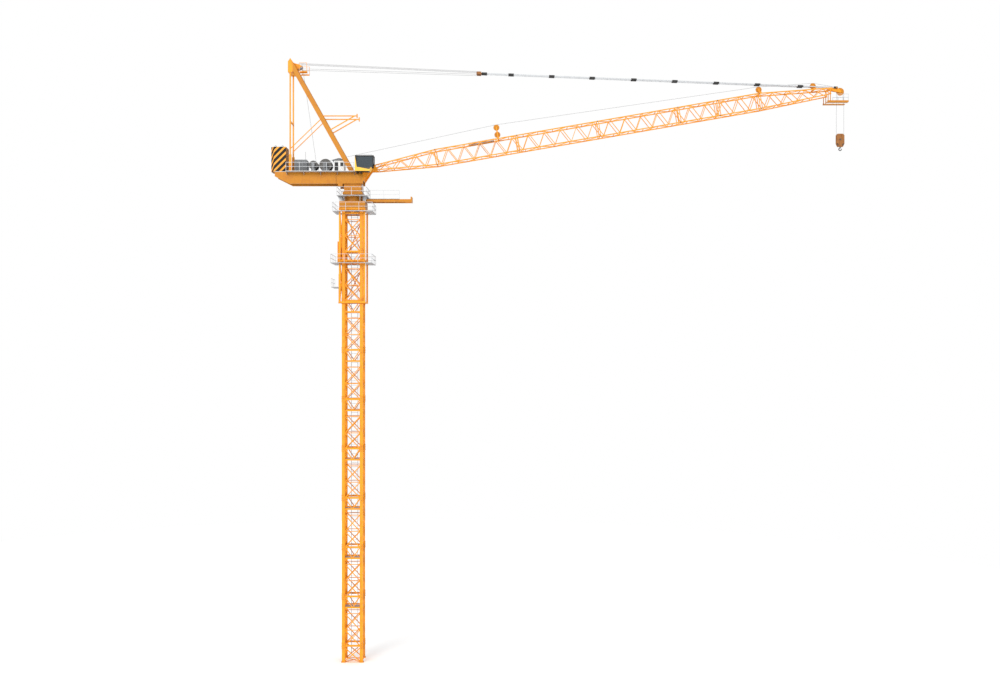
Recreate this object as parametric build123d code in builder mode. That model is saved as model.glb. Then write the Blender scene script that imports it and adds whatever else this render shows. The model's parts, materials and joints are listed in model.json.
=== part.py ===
from build123d import *
import math
import os

# A luffing jib tower crane at half size, in millimetres. Z is up and X runs towards the hook.
# The origin is on the slewing axis, at the underside of the mast's foot.

# Clearances and thicknesses that many pieces share
fit_gap = 0.5
pin_gap = 0.08
panel_gap = 5
cut_overrun = 10
grating_thickness = 30
railing_height = 520
railing_tube = 20
railing_bay = 800

# Mast: four legs, four laced sides
leg_centre = 550
leg_width = 180
foot_plate_width = 260
foot_plate_height = 40
foot_tie_width = 60
foot_tie_height = 20
base_height = 1000
section_height = 3000
section_count = 9
lattice_depth = 60
brace_width = 50
stile_width = 20
thin_rail_width = 40
heavy_rail_width = 110
middle_rail_width = 90
crossed_bay_shares = (0, 0.317, 0.65)
vee_foot_share = 0.773
base_brace_shares = (0.06, 0.87)
splice_plate_length = 400
splice_plate_width = 100
splice_plate_thickness = 15
landing_thickness = 20
landing_front = 450
landing_back = 190
landing_share = 0.773
ladder_half_width = 200
ladder_rail_width = 30
ladder_rail_depth = 25
ladder_end_gap = 300

# Climbing frame round the top of the mast
seat_skirt_height = 380
cage_half_width = 800
cage_post_width = 100
cage_height = 5770
cage_rail_width = 110
cage_brace_width = 50
cage_middle_share = 0.447
upper_platform_level = 27430
upper_platform_left = 1170
upper_platform_right = 1260
upper_platform_half_depth = 1100
middle_platform_level = 24290
middle_platform_left = 1270
middle_platform_right = 1240
middle_platform_half_depth = 1200
lower_platform_level = 22830
lower_platform_slot = 200
pump_width = 220
pump_depth = 500
pump_height = 1380
pump_corner = 30
pump_side_gap = 200
cylinder_radius = 55
cylinder_axis_gap = 70
cylinder_height = 1700
cylinder_foot_width = 120
rod_radius = 32

# Seat on the mast, slewing ring and the platform round it
seat_half_width = 780
seat_wall = 80
seat_plate_thickness = 40
seat_bore_radius = 400
ring_outer_radius = 600
ring_inner_radius = 480
lower_ring_height = 129.5
upper_ring_height = 100
round_platform_top_gap = 330
round_platform_half_length = 905
round_platform_half_depth = 1100
round_platform_bore_radius = 640
gusset_place = 480
gusset_thickness = 20
gusset_inner = 620
gusset_flare = 120
round_railing_height = 500

# Beam on which new mast sections are rolled in
track_place = 350
track_width = 80
track_height = 160
track_start = 640
track_length = 2960
track_ties = 6
track_stop_length = 80
track_stop_height = 150
track_walk_start = 920
track_walk_length = 1930
track_walk_half_width = 450
track_walk_thickness = 20

# Turning upper part: turret, girders and deck
collar_radius = 580
collar_height = 200
flange_half_width = 600
flange_height = 150
turret_half_width = 520
turret_height = 495
girder_inner = 480
girder_outer = 640
girder_tail = 4717
girder_front = 645
girder_taper_end = 3820
girder_height = 715
girder_tail_height = 270
splice_place = 960
splice_length = 60
splice_reach = 30
girder_lug_span = (600, 875)
girder_lug_drop = 165
deck_thickness = 30
deck_beam_width = 80
deck_beam_height = 300
deck_beam_shares = (0.06, 0.26, 0.46, 0.64, 0.94)
walkway_outer = 1100
walkway_tail = 3970
walkway_front = 150
walkway_bracket_drop = 180
walkway_brackets = 5
walkway_bracket_thickness = 20

# Cab on the near side
cab_near = 1380
cab_far = 680
cab_rear = 235
cab_front = 1366
cab_sill_front = 1100
cab_bottom_gap = 80
cab_height = 940
cab_floor = 60
cab_post = 60
cab_roof = 70
cab_sill_height = 170
cab_glass_thickness = 12
cab_beam_height = 90
cab_beam_width = 70
cab_beam_places = (330, 560)

# Counterweight slabs
slab_count = 3
slab_depth = 350
slab_gap = 25
slab_length = 920
slab_height = 1510
slab_rear = 4980
slab_chamfer = 200

# A-frame
frame_plane = 560
frame_leg_width = 260
frame_leg_depth = 160
frame_foot_x = -48
frame_head_x = -3640
frame_head_rise = 6400
head_rear = 3920
head_underside_rise = 6040
head_top_rise = 6680
head_half_width = 640
head_crown_rise = 6890
tie_width = 80
tie_x = -3790
thick_tie_width = 150
thick_tie_height = 1040
tie_bar_rise = 3040
brace_foot_rise = 340
brace_head_rise = 3240
frame_brace_width = 45
cross_bar_width = 90
cross_bar_rises = (3340, 4300)
backstop_rise = 3380
backstop_reach = 250
backstop_width = 60
backstop_spread = 900
backstop_buffer = 120
head_walk_rise = 6110
head_walk_span = (-3240, -2780)
head_walk_half_width = 550
head_walk_slot = 300
head_walk_beam_width = 50

# Luffing sheaves and ropes
rope_radius = 7
groove_half_width = 8.5
flange_thickness = 9
axle_radius = 30
luff_axle_x = -3300
luff_axle_rise = 6500
luff_sheave_radius = 170
luff_sheave_pitch = 200
luff_bracket_thickness = 20
luff_bracket_place = 260

# Machinery on the deck
cabinet_spans = ((-3560, -3025), (-3010, -2800))
cabinet_half_depth = 450
cabinet_height = 740
cabinet_corner = 20
house_span = (-1150, -540)
house_half_depth = 400
house_wall_height = 690
house_roof_rise = 55
house_eaves = 30
winch_side_place = 380
winch_side_thickness = 30
luffing_drum_x = -2420
luffing_drum_radius = 150
luffing_flange_radius = 270
hoist_drum_x = -1680
hoist_drum_radius = 260
hoist_flange_radius = 380
drum_axis_rise = 430
drum_half_length = 330
drum_flange_thickness = 25
motor_radius = 130
motor_length = 190

# Jib
pivot_x = 1067
pivot_z = 30060
jib_angle = 9.84
truss_place = 475
truss_depth = 60
chord_width = 60
root_start = 300
root_half_height = 140
root_end = 4075
main_half_height = 460
main_end = 24120
tip_end = 28450
tip_top = 30
tip_bottom = -310
panel_pitch = 504
lace_width = 36
post_places = (4075, 9120, 14130, 19100, 21550, 24120)
post_spread = 60
lacing_start = 500
lacing_pitch = 900
open_tip_start = 26800
foot_eye_radius = 120
foot_pin_radius = 40
foot_side_gap = 10
foot_plate_thickness = 50
bracket_nose_radius = 170
bracket_end_plate = 30
bracket_low = 29300
bracket_high = 30250
tip_tube_length = 120
tip_tube_drop = 80
cheek_inner = 50
cheek_thickness = 30
cheek_margin = 70
head_sheave_u = 29150
head_sheave_v = -214
head_sheave_radius = 235
pendant_u = 28940
pendant_v = 56
pendant_pin_radius = 30
guide_radius = 184
guide_places = ((8013, 1219), (7999, 775), (24250, 757), (27560, 407))
stand_thickness = 20
stand_beam_height = 60
stand_foot_width = 80
walk_on_jib = (6150, 7750)
walk_on_jib_half_width = 445
head_platform_level = 34130
head_platform_rear = 28900
head_platform_length = 1300
head_platform_inner = 200
hanger_offsets = (50, 190)
hanger_width = 40

# Pendant line from the jib head to the travelling block
block_x = 7620
block_z = 35940
bar_place = 150
bar_thickness = 25
bar_height = 60
link_thickness = 15
link_height = 110
link_length = 330
link_places = (2210, 4840, 7360, 9900, 12410, 14960, 17440, 19930, 21570)
block_sheave_radius = 90
block_yoke_length = 190
block_beam_length = 60
block_beam_height = 120
block_cheek_height = 150
block_cheek_reach = 60
block_cheek_thickness = 20
block_cheek_places = (100, 260)
block_axle_radius = 18

# Hook block
block_axle_z = 31900
hook_cheek_half_length = 250
hook_cheek_top = 32250
hook_cheek_bottom = 31450
hook_cheek_thickness = 26
hook_corner = 90
shank_radius = 30
crosshead_half_length = 90
crosshead_low = 31470
crosshead_height = 80
nut_radius = 50
nut_height = 50
hook_thickness = 50
hook_bowl_z = 31300
hook_bowl_radius = 100
hook_throat_radius = 55
hook_neck_width = 60
hook_mouth_height = 50

# Levels and places worked out from the sizes above
mast_top = base_height + section_count * section_height
leg_inner = leg_centre - leg_width / 2
leg_outer = leg_centre + leg_width / 2
side_inner = leg_centre - lattice_depth / 2
cage_top = mast_top - seat_skirt_height
cage_bottom = cage_top - cage_height
cage_post_centre = cage_half_width - cage_post_width / 2
cage_inner = cage_half_width - cage_post_width
seat_top = mast_top + seat_plate_thickness
ring_level = seat_top + lower_ring_height + fit_gap
round_platform_top = seat_top + round_platform_top_gap
round_platform_underside = round_platform_top - grating_thickness

os.makedirs("parts", exist_ok=True)


def finish(piece, name):
    """Name a finished piece and write it to its own file."""
    piece.part.label = name
    export_step(piece.part, f"parts/{name}.step")


def block(low, high, mode=Mode.ADD):
    """A square-edged block between its lowest and its highest corner."""
    size = [top - bottom for bottom, top in zip(low, high)]
    with Locations(low):
        Box(*size, align=(Align.MIN, Align.MIN, Align.MIN), mode=mode)


def bars(ends, width):
    """Flat bars of one width between pairs of points, in the sketch being drawn."""
    faces = []
    for start, end in ends:
        with BuildLine() as axis:
            Line(start, end)
        faces += trace(axis.edges(), line_width=width, mode=Mode.PRIVATE).faces()
    add(faces)


def side_plane(y):
    """An upright plane along the crane: its own x is X and its own y is Z."""
    return Plane((0, y, 0), x_dir=(1, 0, 0), z_dir=(0, -1, 0))


def plate(outline, y_low, y_high, holes=()):
    """An upright plate along the crane, with an outline in X and Z and round holes."""
    with BuildSketch(side_plane(y_high)) as face:
        with BuildLine() as edge:
            Polyline(*outline, close=True)
        make_face(edge.edges())
        for place, radius in holes:
            with Locations(place):
                Circle(radius, mode=Mode.SUBTRACT)
    extrude(face.sketch, amount=y_high - y_low)


def railing_side(start, end, level, height=railing_height):
    """One straight run of railing: posts, a hand rail and a knee rail in one flat piece."""
    length = math.dist(start, end)
    along = ((end[0] - start[0]) / length, (end[1] - start[1]) / length)
    run = Plane((*start, level), x_dir=(*along, 0), z_dir=(along[1], -along[0], 0))
    half_tube = railing_tube / 2
    bays = max(1, round(length / railing_bay))
    pitch = (length - railing_tube) / bays
    posts = [((half_tube + i * pitch, 0), (half_tube + i * pitch, height)) for i in range(bays + 1)]
    rails = [((0, rise), (length, rise)) for rise in (height / 2, height - half_tube)]
    with BuildSketch(run) as side:
        bars(posts, railing_tube)
        bars(rails, railing_tube)
    extrude(side.sketch, amount=half_tube, both=True)


def railing_round(left, right, front, back, level, height=railing_height):
    """Railing on all four edges of a platform, each side its own piece."""
    half_tube = railing_tube / 2
    inset = railing_tube + panel_gap
    for y in (front + half_tube, back - half_tube):
        railing_side((left, y), (right, y), level, height)
    for x in (left + half_tube, right - half_tube):
        railing_side((x, front + inset), (x, back - inset), level, height)


def four_corners(place, level):
    """The four places at one distance from the mast's axis both ways."""
    return [(x * place, y * place, level) for x in (-1, 1) for y in (-1, 1)]


# Foot of the mast: a plate under each leg, tied along the sides and across the middle
with BuildPart() as foundation_frame:
    with Locations(*four_corners(leg_centre, 0)):
        Box(foot_plate_width, foot_plate_width, foot_plate_height,
            align=(Align.CENTER, Align.CENTER, Align.MIN))
    with BuildSketch(Plane.XY) as ties:
        corners = [(-leg_centre, -leg_centre), (leg_centre, -leg_centre),
                   (leg_centre, leg_centre), (-leg_centre, leg_centre)]
        bars(list(zip(corners, corners[1:] + corners[:1])), foot_tie_width)
        bars([(corners[0], corners[2]), (corners[1], corners[3])], foot_tie_width)
    extrude(amount=foot_tie_height)
finish(foundation_frame, "foundation_frame")

# The four legs, with splice plates on their outer faces where two sections meet
splice_levels = [base_height + i * section_height for i in range(section_count)]
splice_out = leg_outer + splice_plate_thickness / 2
with BuildPart() as mast_legs:
    with Locations(*four_corners(leg_centre, foot_plate_height)):
        Box(leg_width, leg_width, mast_top - foot_plate_height,
            align=(Align.CENTER, Align.CENTER, Align.MIN))
    for level in splice_levels:
        with Locations(*[(x * splice_out, y * leg_centre, level) for x in (-1, 1) for y in (-1, 1)]):
            Box(splice_plate_thickness, splice_plate_width, splice_plate_length)
        with Locations(*[(x * leg_centre, y * splice_out, level) for x in (-1, 1) for y in (-1, 1)]):
            Box(splice_plate_width, splice_plate_thickness, splice_plate_length)
finish(mast_legs, "mast_legs")


def crossed(low, high, half_width):
    """Two braces that cross between two levels."""
    return [((-half_width, low), (half_width, high)), ((half_width, low), (-half_width, high))]


def mast_side():
    """The front side of the mast: rails, crossed braces and a vee in each section."""
    low_brace, high_brace = [base_height * share for share in base_brace_shares]
    braces = crossed(low_brace, high_brace, leg_inner)
    thin_rails, middle_rails, heavy_rails = [], [], []
    for foot in splice_levels:
        levels = [foot + section_height * share for share in crossed_bay_shares]
        for low, high in zip(levels, levels[1:]):
            braces += crossed(low, high, leg_inner)
        vee_foot = foot + section_height * vee_foot_share
        for side in (-leg_inner, leg_inner):
            braces.append(((0, vee_foot), (side, foot + section_height)))
        heavy_rails.append(((-leg_inner, foot), (leg_inner, foot)))
        middle_rails.append(((-leg_inner, vee_foot), (leg_inner, vee_foot)))
        thin_rails += [((-leg_inner, level), (leg_inner, level)) for level in levels[1:]]
    edge = leg_inner - stile_width / 2
    stiles = [((x, foot_plate_height), (x, mast_top)) for x in (-edge, edge)]
    with BuildSketch(side_plane(-side_inner)) as side:
        bars(braces, brace_width)
        bars(thin_rails, thin_rail_width)
        bars(middle_rails, middle_rail_width)
        bars(heavy_rails, heavy_rail_width)
        bars(stiles, stile_width)
        with Locations((0, (foot_plate_height + mast_top) / 2)):
            Rectangle(2 * leg_inner, mast_top - foot_plate_height, mode=Mode.INTERSECT)
    extrude(side.sketch, amount=lattice_depth)


with BuildPart() as mast_front_and_back:
    mast_side()
    mirror(about=Plane.XZ)
finish(mast_front_and_back, "mast_front_and_back_lattice")

with BuildPart() as mast_left_and_right:
    add(mast_front_and_back.part.rotate(Axis.Z, 90))
finish(mast_left_and_right, "mast_left_and_right_lattice")

# A landing in each section, open at the back where the ladder climbs
with BuildPart() as mast_landings:
    for foot in splice_levels:
        level = foot + section_height * landing_share
        block((-side_inner, -landing_front, level),
              (side_inner, landing_back, level + landing_thickness))
finish(mast_landings, "mast_landings")

with BuildPart() as mast_ladder:
    for side in (-1, 1):
        centre = side * ladder_half_width
        block((centre - ladder_rail_width / 2, side_inner - ladder_rail_depth, ladder_end_gap),
              (centre + ladder_rail_width / 2, side_inner, mast_top - ladder_end_gap))
finish(mast_ladder, "mast_ladder")

# Climbing frame: corner posts, rails on every side, braces at the back and the left
with BuildPart() as climbing_frame_posts:
    with Locations(*four_corners(cage_post_centre, cage_bottom)):
        Box(cage_post_width, cage_post_width, cage_height,
            align=(Align.CENTER, Align.CENTER, Align.MIN))
finish(climbing_frame_posts, "climbing_frame_posts")

cage_middle = cage_bottom + cage_height * cage_middle_share
cage_rail_levels = (cage_bottom + cage_rail_width / 2, cage_middle, cage_top - cage_rail_width / 2)


def cage_side(braced):
    """One side of the climbing frame as a flat piece, drawn at the front."""
    with BuildSketch(side_plane(-cage_post_centre + lattice_depth / 2)) as side:
        bars([((-cage_inner, z), (cage_inner, z)) for z in cage_rail_levels], cage_rail_width)
        if braced:
            low, middle, high = cage_rail_levels
            brace_end = cage_inner - cage_brace_width
            bars(crossed(low, middle, brace_end) + crossed(middle, high, brace_end), cage_brace_width)
    extrude(side.sketch, amount=lattice_depth)


with BuildPart() as open_side:
    cage_side(braced=False)
with BuildPart() as braced_side:
    cage_side(braced=True)
with BuildPart() as climbing_frame_bars:
    add(open_side.part)
    add(open_side.part.rotate(Axis.Z, 90))
    add(braced_side.part.rotate(Axis.Z, 180))
    add(braced_side.part.rotate(Axis.Z, -90))
finish(climbing_frame_bars, "climbing_frame_bars")


def grating_round(left, right, half_depth, level):
    """Four grating panels round the climbing frame."""
    low = level - grating_thickness
    inner = cage_half_width - panel_gap
    block((-left, -half_depth, low), (-cage_half_width, half_depth, level))
    block((cage_half_width, -half_depth, low), (right, half_depth, level))
    for front, back in ((-half_depth, -cage_half_width), (cage_half_width, half_depth)):
        block((-inner, front, low), (inner, back, level))


with BuildPart() as climbing_platforms:
    grating_round(upper_platform_left, upper_platform_right, upper_platform_half_depth,
                  upper_platform_level)
    grating_round(middle_platform_left, middle_platform_right, middle_platform_half_depth,
                  middle_platform_level)
    for front, back in ((-cage_half_width, -lower_platform_slot / 2),
                        (lower_platform_slot / 2, cage_half_width)):
        block((-middle_platform_left, front, lower_platform_level - grating_thickness),
              (-cage_half_width, back, lower_platform_level))
finish(climbing_platforms, "climbing_platforms")

# Pump unit on the middle platform, and the climbing cylinder beside the frame
cylinder_x = -cage_half_width - cylinder_axis_gap
cylinder_foot_top = cage_bottom + cage_rail_width
with BuildPart() as hydraulic_unit:
    block((-cage_half_width - pump_width, pump_side_gap, middle_platform_level),
          (-cage_half_width, pump_side_gap + pump_depth, middle_platform_level + pump_height))
    fillet(hydraulic_unit.edges().filter_by(Axis.Z), pump_corner)
    block((cylinder_x - cylinder_radius - panel_gap, -cylinder_foot_width / 2, cage_bottom),
          (-cage_post_centre - lattice_depth / 2, cylinder_foot_width / 2, cylinder_foot_top))
    with Locations((cylinder_x, 0, cylinder_foot_top)):
        Cylinder(cylinder_radius, cylinder_height, align=(Align.CENTER, Align.CENTER, Align.MIN))
        Cylinder(rod_radius, middle_platform_level - grating_thickness - cylinder_foot_top,
                 align=(Align.CENTER, Align.CENTER, Align.MIN))
finish(hydraulic_unit, "hydraulic_unit")

# Seat: a square skirt over the top of the mast under a thick plate
with BuildPart() as crane_seat:
    block((-seat_half_width, -seat_half_width, cage_top), (seat_half_width, seat_half_width, seat_top))
    inner_half = seat_half_width - seat_wall
    block((-inner_half, -inner_half, cage_top), (inner_half, inner_half, mast_top), mode=Mode.SUBTRACT)
    with Locations((0, 0, seat_top)):
        Hole(seat_bore_radius)
finish(crane_seat, "crane_seat")

with BuildPart() as lower_slewing_ring:
    with BuildSketch(Plane.XY.offset(seat_top)):
        Circle(ring_outer_radius)
        Circle(ring_inner_radius, mode=Mode.SUBTRACT)
    extrude(amount=lower_ring_height)
finish(lower_slewing_ring, "lower_slewing_ring")

# Platform round the slewing ring, on gussets that stand on the seat
gusset_foot = seat_half_width
gusset_outline = [(gusset_inner, seat_top), (gusset_foot, seat_top),
                  (gusset_foot + gusset_flare, round_platform_underside),
                  (gusset_inner, round_platform_underside)]
with BuildPart() as gussets:
    for y in (-gusset_place, gusset_place):
        plate(gusset_outline, y - gusset_thickness / 2, y + gusset_thickness / 2)
with BuildPart() as slewing_platform:
    with BuildSketch(Plane.XY.offset(round_platform_underside)):
        Rectangle(2 * round_platform_half_length, 2 * round_platform_half_depth)
        Circle(round_platform_bore_radius, mode=Mode.SUBTRACT)
    extrude(amount=grating_thickness)
    for turn in (0, 90, 180, 270):
        add(gussets.part.rotate(Axis.Z, turn))
finish(slewing_platform, "slewing_platform")

# Two tracks with ties and an end stop, on which a new mast section is rolled in
track_end = track_start + track_length
track_top = seat_top + track_height
with BuildPart() as introduction_beam:
    for y in (-track_place, track_place):
        block((track_start, y - track_width / 2, seat_top), (track_end, y + track_width / 2, track_top))
    first_tie = seat_half_width + track_width
    tie_pitch = (track_end - track_width / 2 - first_tie) / (track_ties - 1)
    for i in range(track_ties):
        x = first_tie + i * tie_pitch
        block((x - track_width / 2, -track_place, seat_top + track_height / 4),
              (x + track_width / 2, track_place, track_top - track_height / 4))
    block((track_end - track_stop_length, -track_place - track_width / 2, seat_top),
          (track_end, track_place + track_width / 2, track_top + track_stop_height))
finish(introduction_beam, "introduction_beam")

track_walk_top = track_top + track_walk_thickness
track_walk_end = track_walk_start + track_walk_length
with BuildPart() as introduction_walkway:
    block((track_walk_start, -track_walk_half_width, track_top),
          (track_walk_end, track_walk_half_width, track_walk_top))
finish(introduction_walkway, "introduction_walkway")

# Railings of every platform that doesn't turn, each straight side its own piece
with BuildPart() as tower_railings:
    railing_round(-upper_platform_left, upper_platform_right, -upper_platform_half_depth,
                  upper_platform_half_depth, upper_platform_level)
    railing_round(-middle_platform_left, middle_platform_right, -middle_platform_half_depth,
                  middle_platform_half_depth, middle_platform_level)
    lower_edge = -middle_platform_left + railing_tube / 2
    for start, end in ((-cage_half_width, -lower_platform_slot / 2),
                       (lower_platform_slot / 2, cage_half_width)):
        railing_side((lower_edge, start), (lower_edge, end), lower_platform_level)
    railing_round(-round_platform_half_length, round_platform_half_length,
                  -round_platform_half_depth, round_platform_half_depth,
                  round_platform_top, round_railing_height)
    walk_edge = -track_walk_half_width + railing_tube / 2
    railing_side((round_platform_half_length + panel_gap + railing_tube, walk_edge),
                 (track_walk_end, walk_edge), track_walk_top)
finish(tower_railings, "tower_railings")

# Levels of the turning part
turret_foot = ring_level + upper_ring_height
girder_underside = turret_foot + collar_height + flange_height + turret_height
girder_top = girder_underside + girder_height
deck_top = girder_top + deck_thickness

# Turret: the ring's turning half, a round collar, a flange and a square box
with BuildPart() as turret:
    with BuildSketch(Plane.XY.offset(ring_level)):
        Circle(ring_outer_radius)
        Circle(ring_inner_radius, mode=Mode.SUBTRACT)
    extrude(amount=upper_ring_height)
    with Locations((0, 0, turret_foot)):
        Cylinder(collar_radius, collar_height, align=(Align.CENTER, Align.CENTER, Align.MIN))
    with Locations((0, 0, turret_foot + collar_height)):
        Box(2 * flange_half_width, 2 * flange_half_width, flange_height,
            align=(Align.CENTER, Align.CENTER, Align.MIN))
    with Locations((0, 0, turret_foot + collar_height + flange_height)):
        Box(2 * turret_half_width, 2 * turret_half_width, turret_height,
            align=(Align.CENTER, Align.CENTER, Align.MIN))
finish(turret, "turret")

# Two deep girders that taper towards the counterweight
lug_low, lug_high = girder_lug_span
girder_outline = [(-girder_tail, girder_top - girder_tail_height), (-girder_taper_end, girder_underside),
                  (-lug_high, girder_underside), (-lug_high, girder_underside - girder_lug_drop),
                  (-lug_low, girder_underside - girder_lug_drop), (-lug_low, girder_underside),
                  (girder_front, girder_underside), (girder_front, girder_top),
                  (-girder_tail, girder_top)]
with BuildPart() as main_girders:
    plate(girder_outline, girder_inner, girder_outer)
    block((-splice_place - splice_length, girder_outer, girder_underside),
          (-splice_place, girder_outer + splice_reach, girder_top - grating_thickness))
    mirror(about=Plane.XZ)
finish(main_girders, "main_girders")

# Deck plate on the girders, and the beams that tie them together
with BuildPart() as deck:
    block((-girder_tail, -girder_outer, girder_top), (girder_front, girder_outer, deck_top))
    for share in deck_beam_shares:
        x = -girder_tail + share * (girder_tail + girder_front)
        block((x - deck_beam_width / 2, -girder_inner, girder_top - deck_beam_height),
              (x + deck_beam_width / 2, girder_inner, girder_top))
finish(deck, "deck")

# Walkways outside the girders, each on sloping brackets
walk_top = girder_top
walk_low = walk_top - grating_thickness
with BuildPart() as side_walkways:
    block((-walkway_tail, girder_outer, walk_low), (walkway_front, walkway_outer, walk_top))
    bracket_pitch = (walkway_tail + walkway_front - walkway_bracket_thickness) / (walkway_brackets - 1)
    for i in range(walkway_brackets):
        x = -walkway_tail + i * bracket_pitch
        with BuildSketch(Plane((x, 0, 0), x_dir=(0, 1, 0), z_dir=(1, 0, 0))):
            with BuildLine():
                Polyline((girder_outer, walk_low), (walkway_outer, walk_low),
                         (girder_outer, walk_low - walkway_bracket_drop), close=True)
            make_face()
        extrude(amount=walkway_bracket_thickness)
    mirror(about=Plane.XZ)
finish(side_walkways, "side_walkways")

with BuildPart() as deck_railings:
    walk_rail = walkway_outer - railing_tube / 2
    railing_side((-walkway_tail, walk_rail), (walkway_front, walk_rail), walk_top)
    mirror(about=Plane.XZ)
finish(deck_railings, "deck_railings")

# Cab: floor, posts, roof and a sill, open where the glass stands
cab_low = deck_top - cab_bottom_gap
cab_top = cab_low + cab_height
cab_outline = [(cab_rear, cab_low), (cab_sill_front, cab_low), (cab_front, cab_low + cab_height / 2),
               (cab_front, cab_top), (cab_rear, cab_top)]
sill_top = cab_low + cab_floor + cab_sill_height
glass_low, glass_high = sill_top, cab_top - cab_roof


def cab_prism(inset, y_low, y_high):
    """The cab's side outline, set in by one distance all round."""
    with BuildSketch(side_plane(y_high)) as face:
        with BuildLine() as edge:
            Polyline(*cab_outline, close=True)
        make_face(edge.edges())
        offset(amount=-inset)
    extrude(face.sketch, amount=y_high - y_low)


with BuildPart() as cab_hollow:
    cab_prism(cab_post, -cab_near + cab_post, -cab_far - cab_post)
with BuildPart() as cab_front_cut:
    block((cab_rear + 2 * cab_post, -cab_near + cab_post, glass_low),
          (cab_front + cut_overrun, -cab_far - cab_post, glass_high))
with BuildPart() as cab_side_cut:
    window = [(cab_rear + 2 * cab_post, glass_low), (cab_front - cab_post, glass_low),
              (cab_front - cab_post, glass_high), (cab_rear + 2 * cab_post, glass_high)]
    plate(window, -cab_near - cut_overrun, -cab_far + cut_overrun)
with BuildPart() as cab_frame:
    cab_prism(0, -cab_near, -cab_far)
    add(cab_hollow.part, mode=Mode.SUBTRACT)
    add(cab_front_cut.part, mode=Mode.SUBTRACT)
    add(cab_side_cut.part, mode=Mode.SUBTRACT)
    for x in cab_beam_places:
        block((x - cab_beam_width / 2, -cab_near + cab_post, cab_low - cab_beam_height),
              (x + cab_beam_width / 2, -girder_outer, cab_low))
finish(cab_frame, "cab_frame")

window_rear = cab_rear + 2 * cab_post
window_front = cab_front - cab_post
with BuildPart() as cab_glass:
    for y in (-cab_near + cab_post / 2, -cab_far - cab_post / 2):
        block((window_rear, y - cab_glass_thickness / 2, glass_low),
              (window_front, y + cab_glass_thickness / 2, glass_high))
    block((window_front + cab_post / 2, -cab_near + cab_post, max(glass_low, cab_low + cab_height / 2)),
          (window_front + cab_post / 2 + cab_glass_thickness, -cab_far - cab_post, glass_high))
finish(cab_glass, "cab_glass")

# Counterweight slabs across the tail, with chamfered outer corners
slab_rear_x = -slab_rear
slab_pitch = slab_depth + slab_gap
with BuildPart() as counterweight_slabs:
    for i in range(slab_count):
        front = (i - slab_count / 2) * slab_pitch + slab_gap / 2
        block((slab_rear_x, front, deck_top), (slab_rear_x + slab_length, front + slab_depth,
                                               deck_top + slab_height))
    outer = counterweight_slabs.edges().filter_by(Axis.Z).group_by(Axis.X)[0].sort_by(Axis.Y)
    chamfer([outer[0], outer[-1]], slab_chamfer)
finish(counterweight_slabs, "counterweight_slabs")

# A-frame: two raking legs, a head box, and laced ties down to the tail
head_foot = deck_top + head_underside_rise
leg_run = frame_head_x - frame_foot_x
leg_slope = frame_head_rise / leg_run
leg_half = frame_leg_width / 2 / math.cos(math.atan(1 / leg_slope))


def leg_z(x):
    """Height of the leg's centre line at a place along the crane."""
    return deck_top + (x - frame_foot_x) * leg_slope


leg_outline = [(frame_foot_x - leg_half, deck_top), (frame_foot_x + leg_half, deck_top),
               (frame_head_x, leg_z(frame_head_x - leg_half)), (frame_head_x, leg_z(frame_head_x + leg_half))]
with BuildPart() as a_frame_legs:
    plate(leg_outline, frame_plane - frame_leg_depth / 2, frame_plane + frame_leg_depth / 2)
    mirror(about=Plane.XZ)
    for rise in cross_bar_rises:
        x = frame_foot_x + rise / leg_slope
        block((x - cross_bar_width / 2, -frame_plane, deck_top + rise - cross_bar_width / 2),
              (x + cross_bar_width / 2, frame_plane, deck_top + rise + cross_bar_width / 2))
finish(a_frame_legs, "a_frame_legs")

tie_front = tie_x + tie_width / 2
brace_head_x = frame_foot_x + brace_head_rise / leg_slope
with BuildPart() as a_frame_ties:
    block((tie_x - tie_width / 2, frame_plane - tie_width / 2, deck_top),
          (tie_front, frame_plane + tie_width / 2, head_foot))
    block((tie_x - thick_tie_width / 2, frame_plane - tie_width / 2, deck_top),
          (tie_x + thick_tie_width / 2, frame_plane + tie_width / 2, deck_top + thick_tie_height))
    mirror(about=Plane.XZ)
    block((tie_x - tie_width / 2, -frame_plane, deck_top + tie_bar_rise - tie_width / 2),
          (tie_front, frame_plane, deck_top + tie_bar_rise + tie_width / 2))
finish(a_frame_ties, "a_frame_ties")

# Thin braces from the ties up to the legs, drawn longer and cut off at both
with BuildPart() as a_frame_braces:
    with BuildSketch(side_plane(frame_plane + frame_brace_width / 2)) as brace:
        bars([((tie_x, deck_top + brace_foot_rise + thick_tie_height),
               (brace_head_x, deck_top + brace_head_rise))], frame_brace_width)
        with BuildLine() as leg_edge:
            Polyline(*leg_outline, close=True)
        make_face(leg_edge.edges(), mode=Mode.SUBTRACT)
        with Locations((tie_x, deck_top)):
            Rectangle(tie_width, 2 * head_underside_rise, mode=Mode.SUBTRACT)
    kept = brace.sketch.faces().sort_by(SortBy.AREA)[-1]
    extrude(kept, amount=frame_brace_width)
    mirror(about=Plane.XZ)
finish(a_frame_braces, "a_frame_braces")

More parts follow.
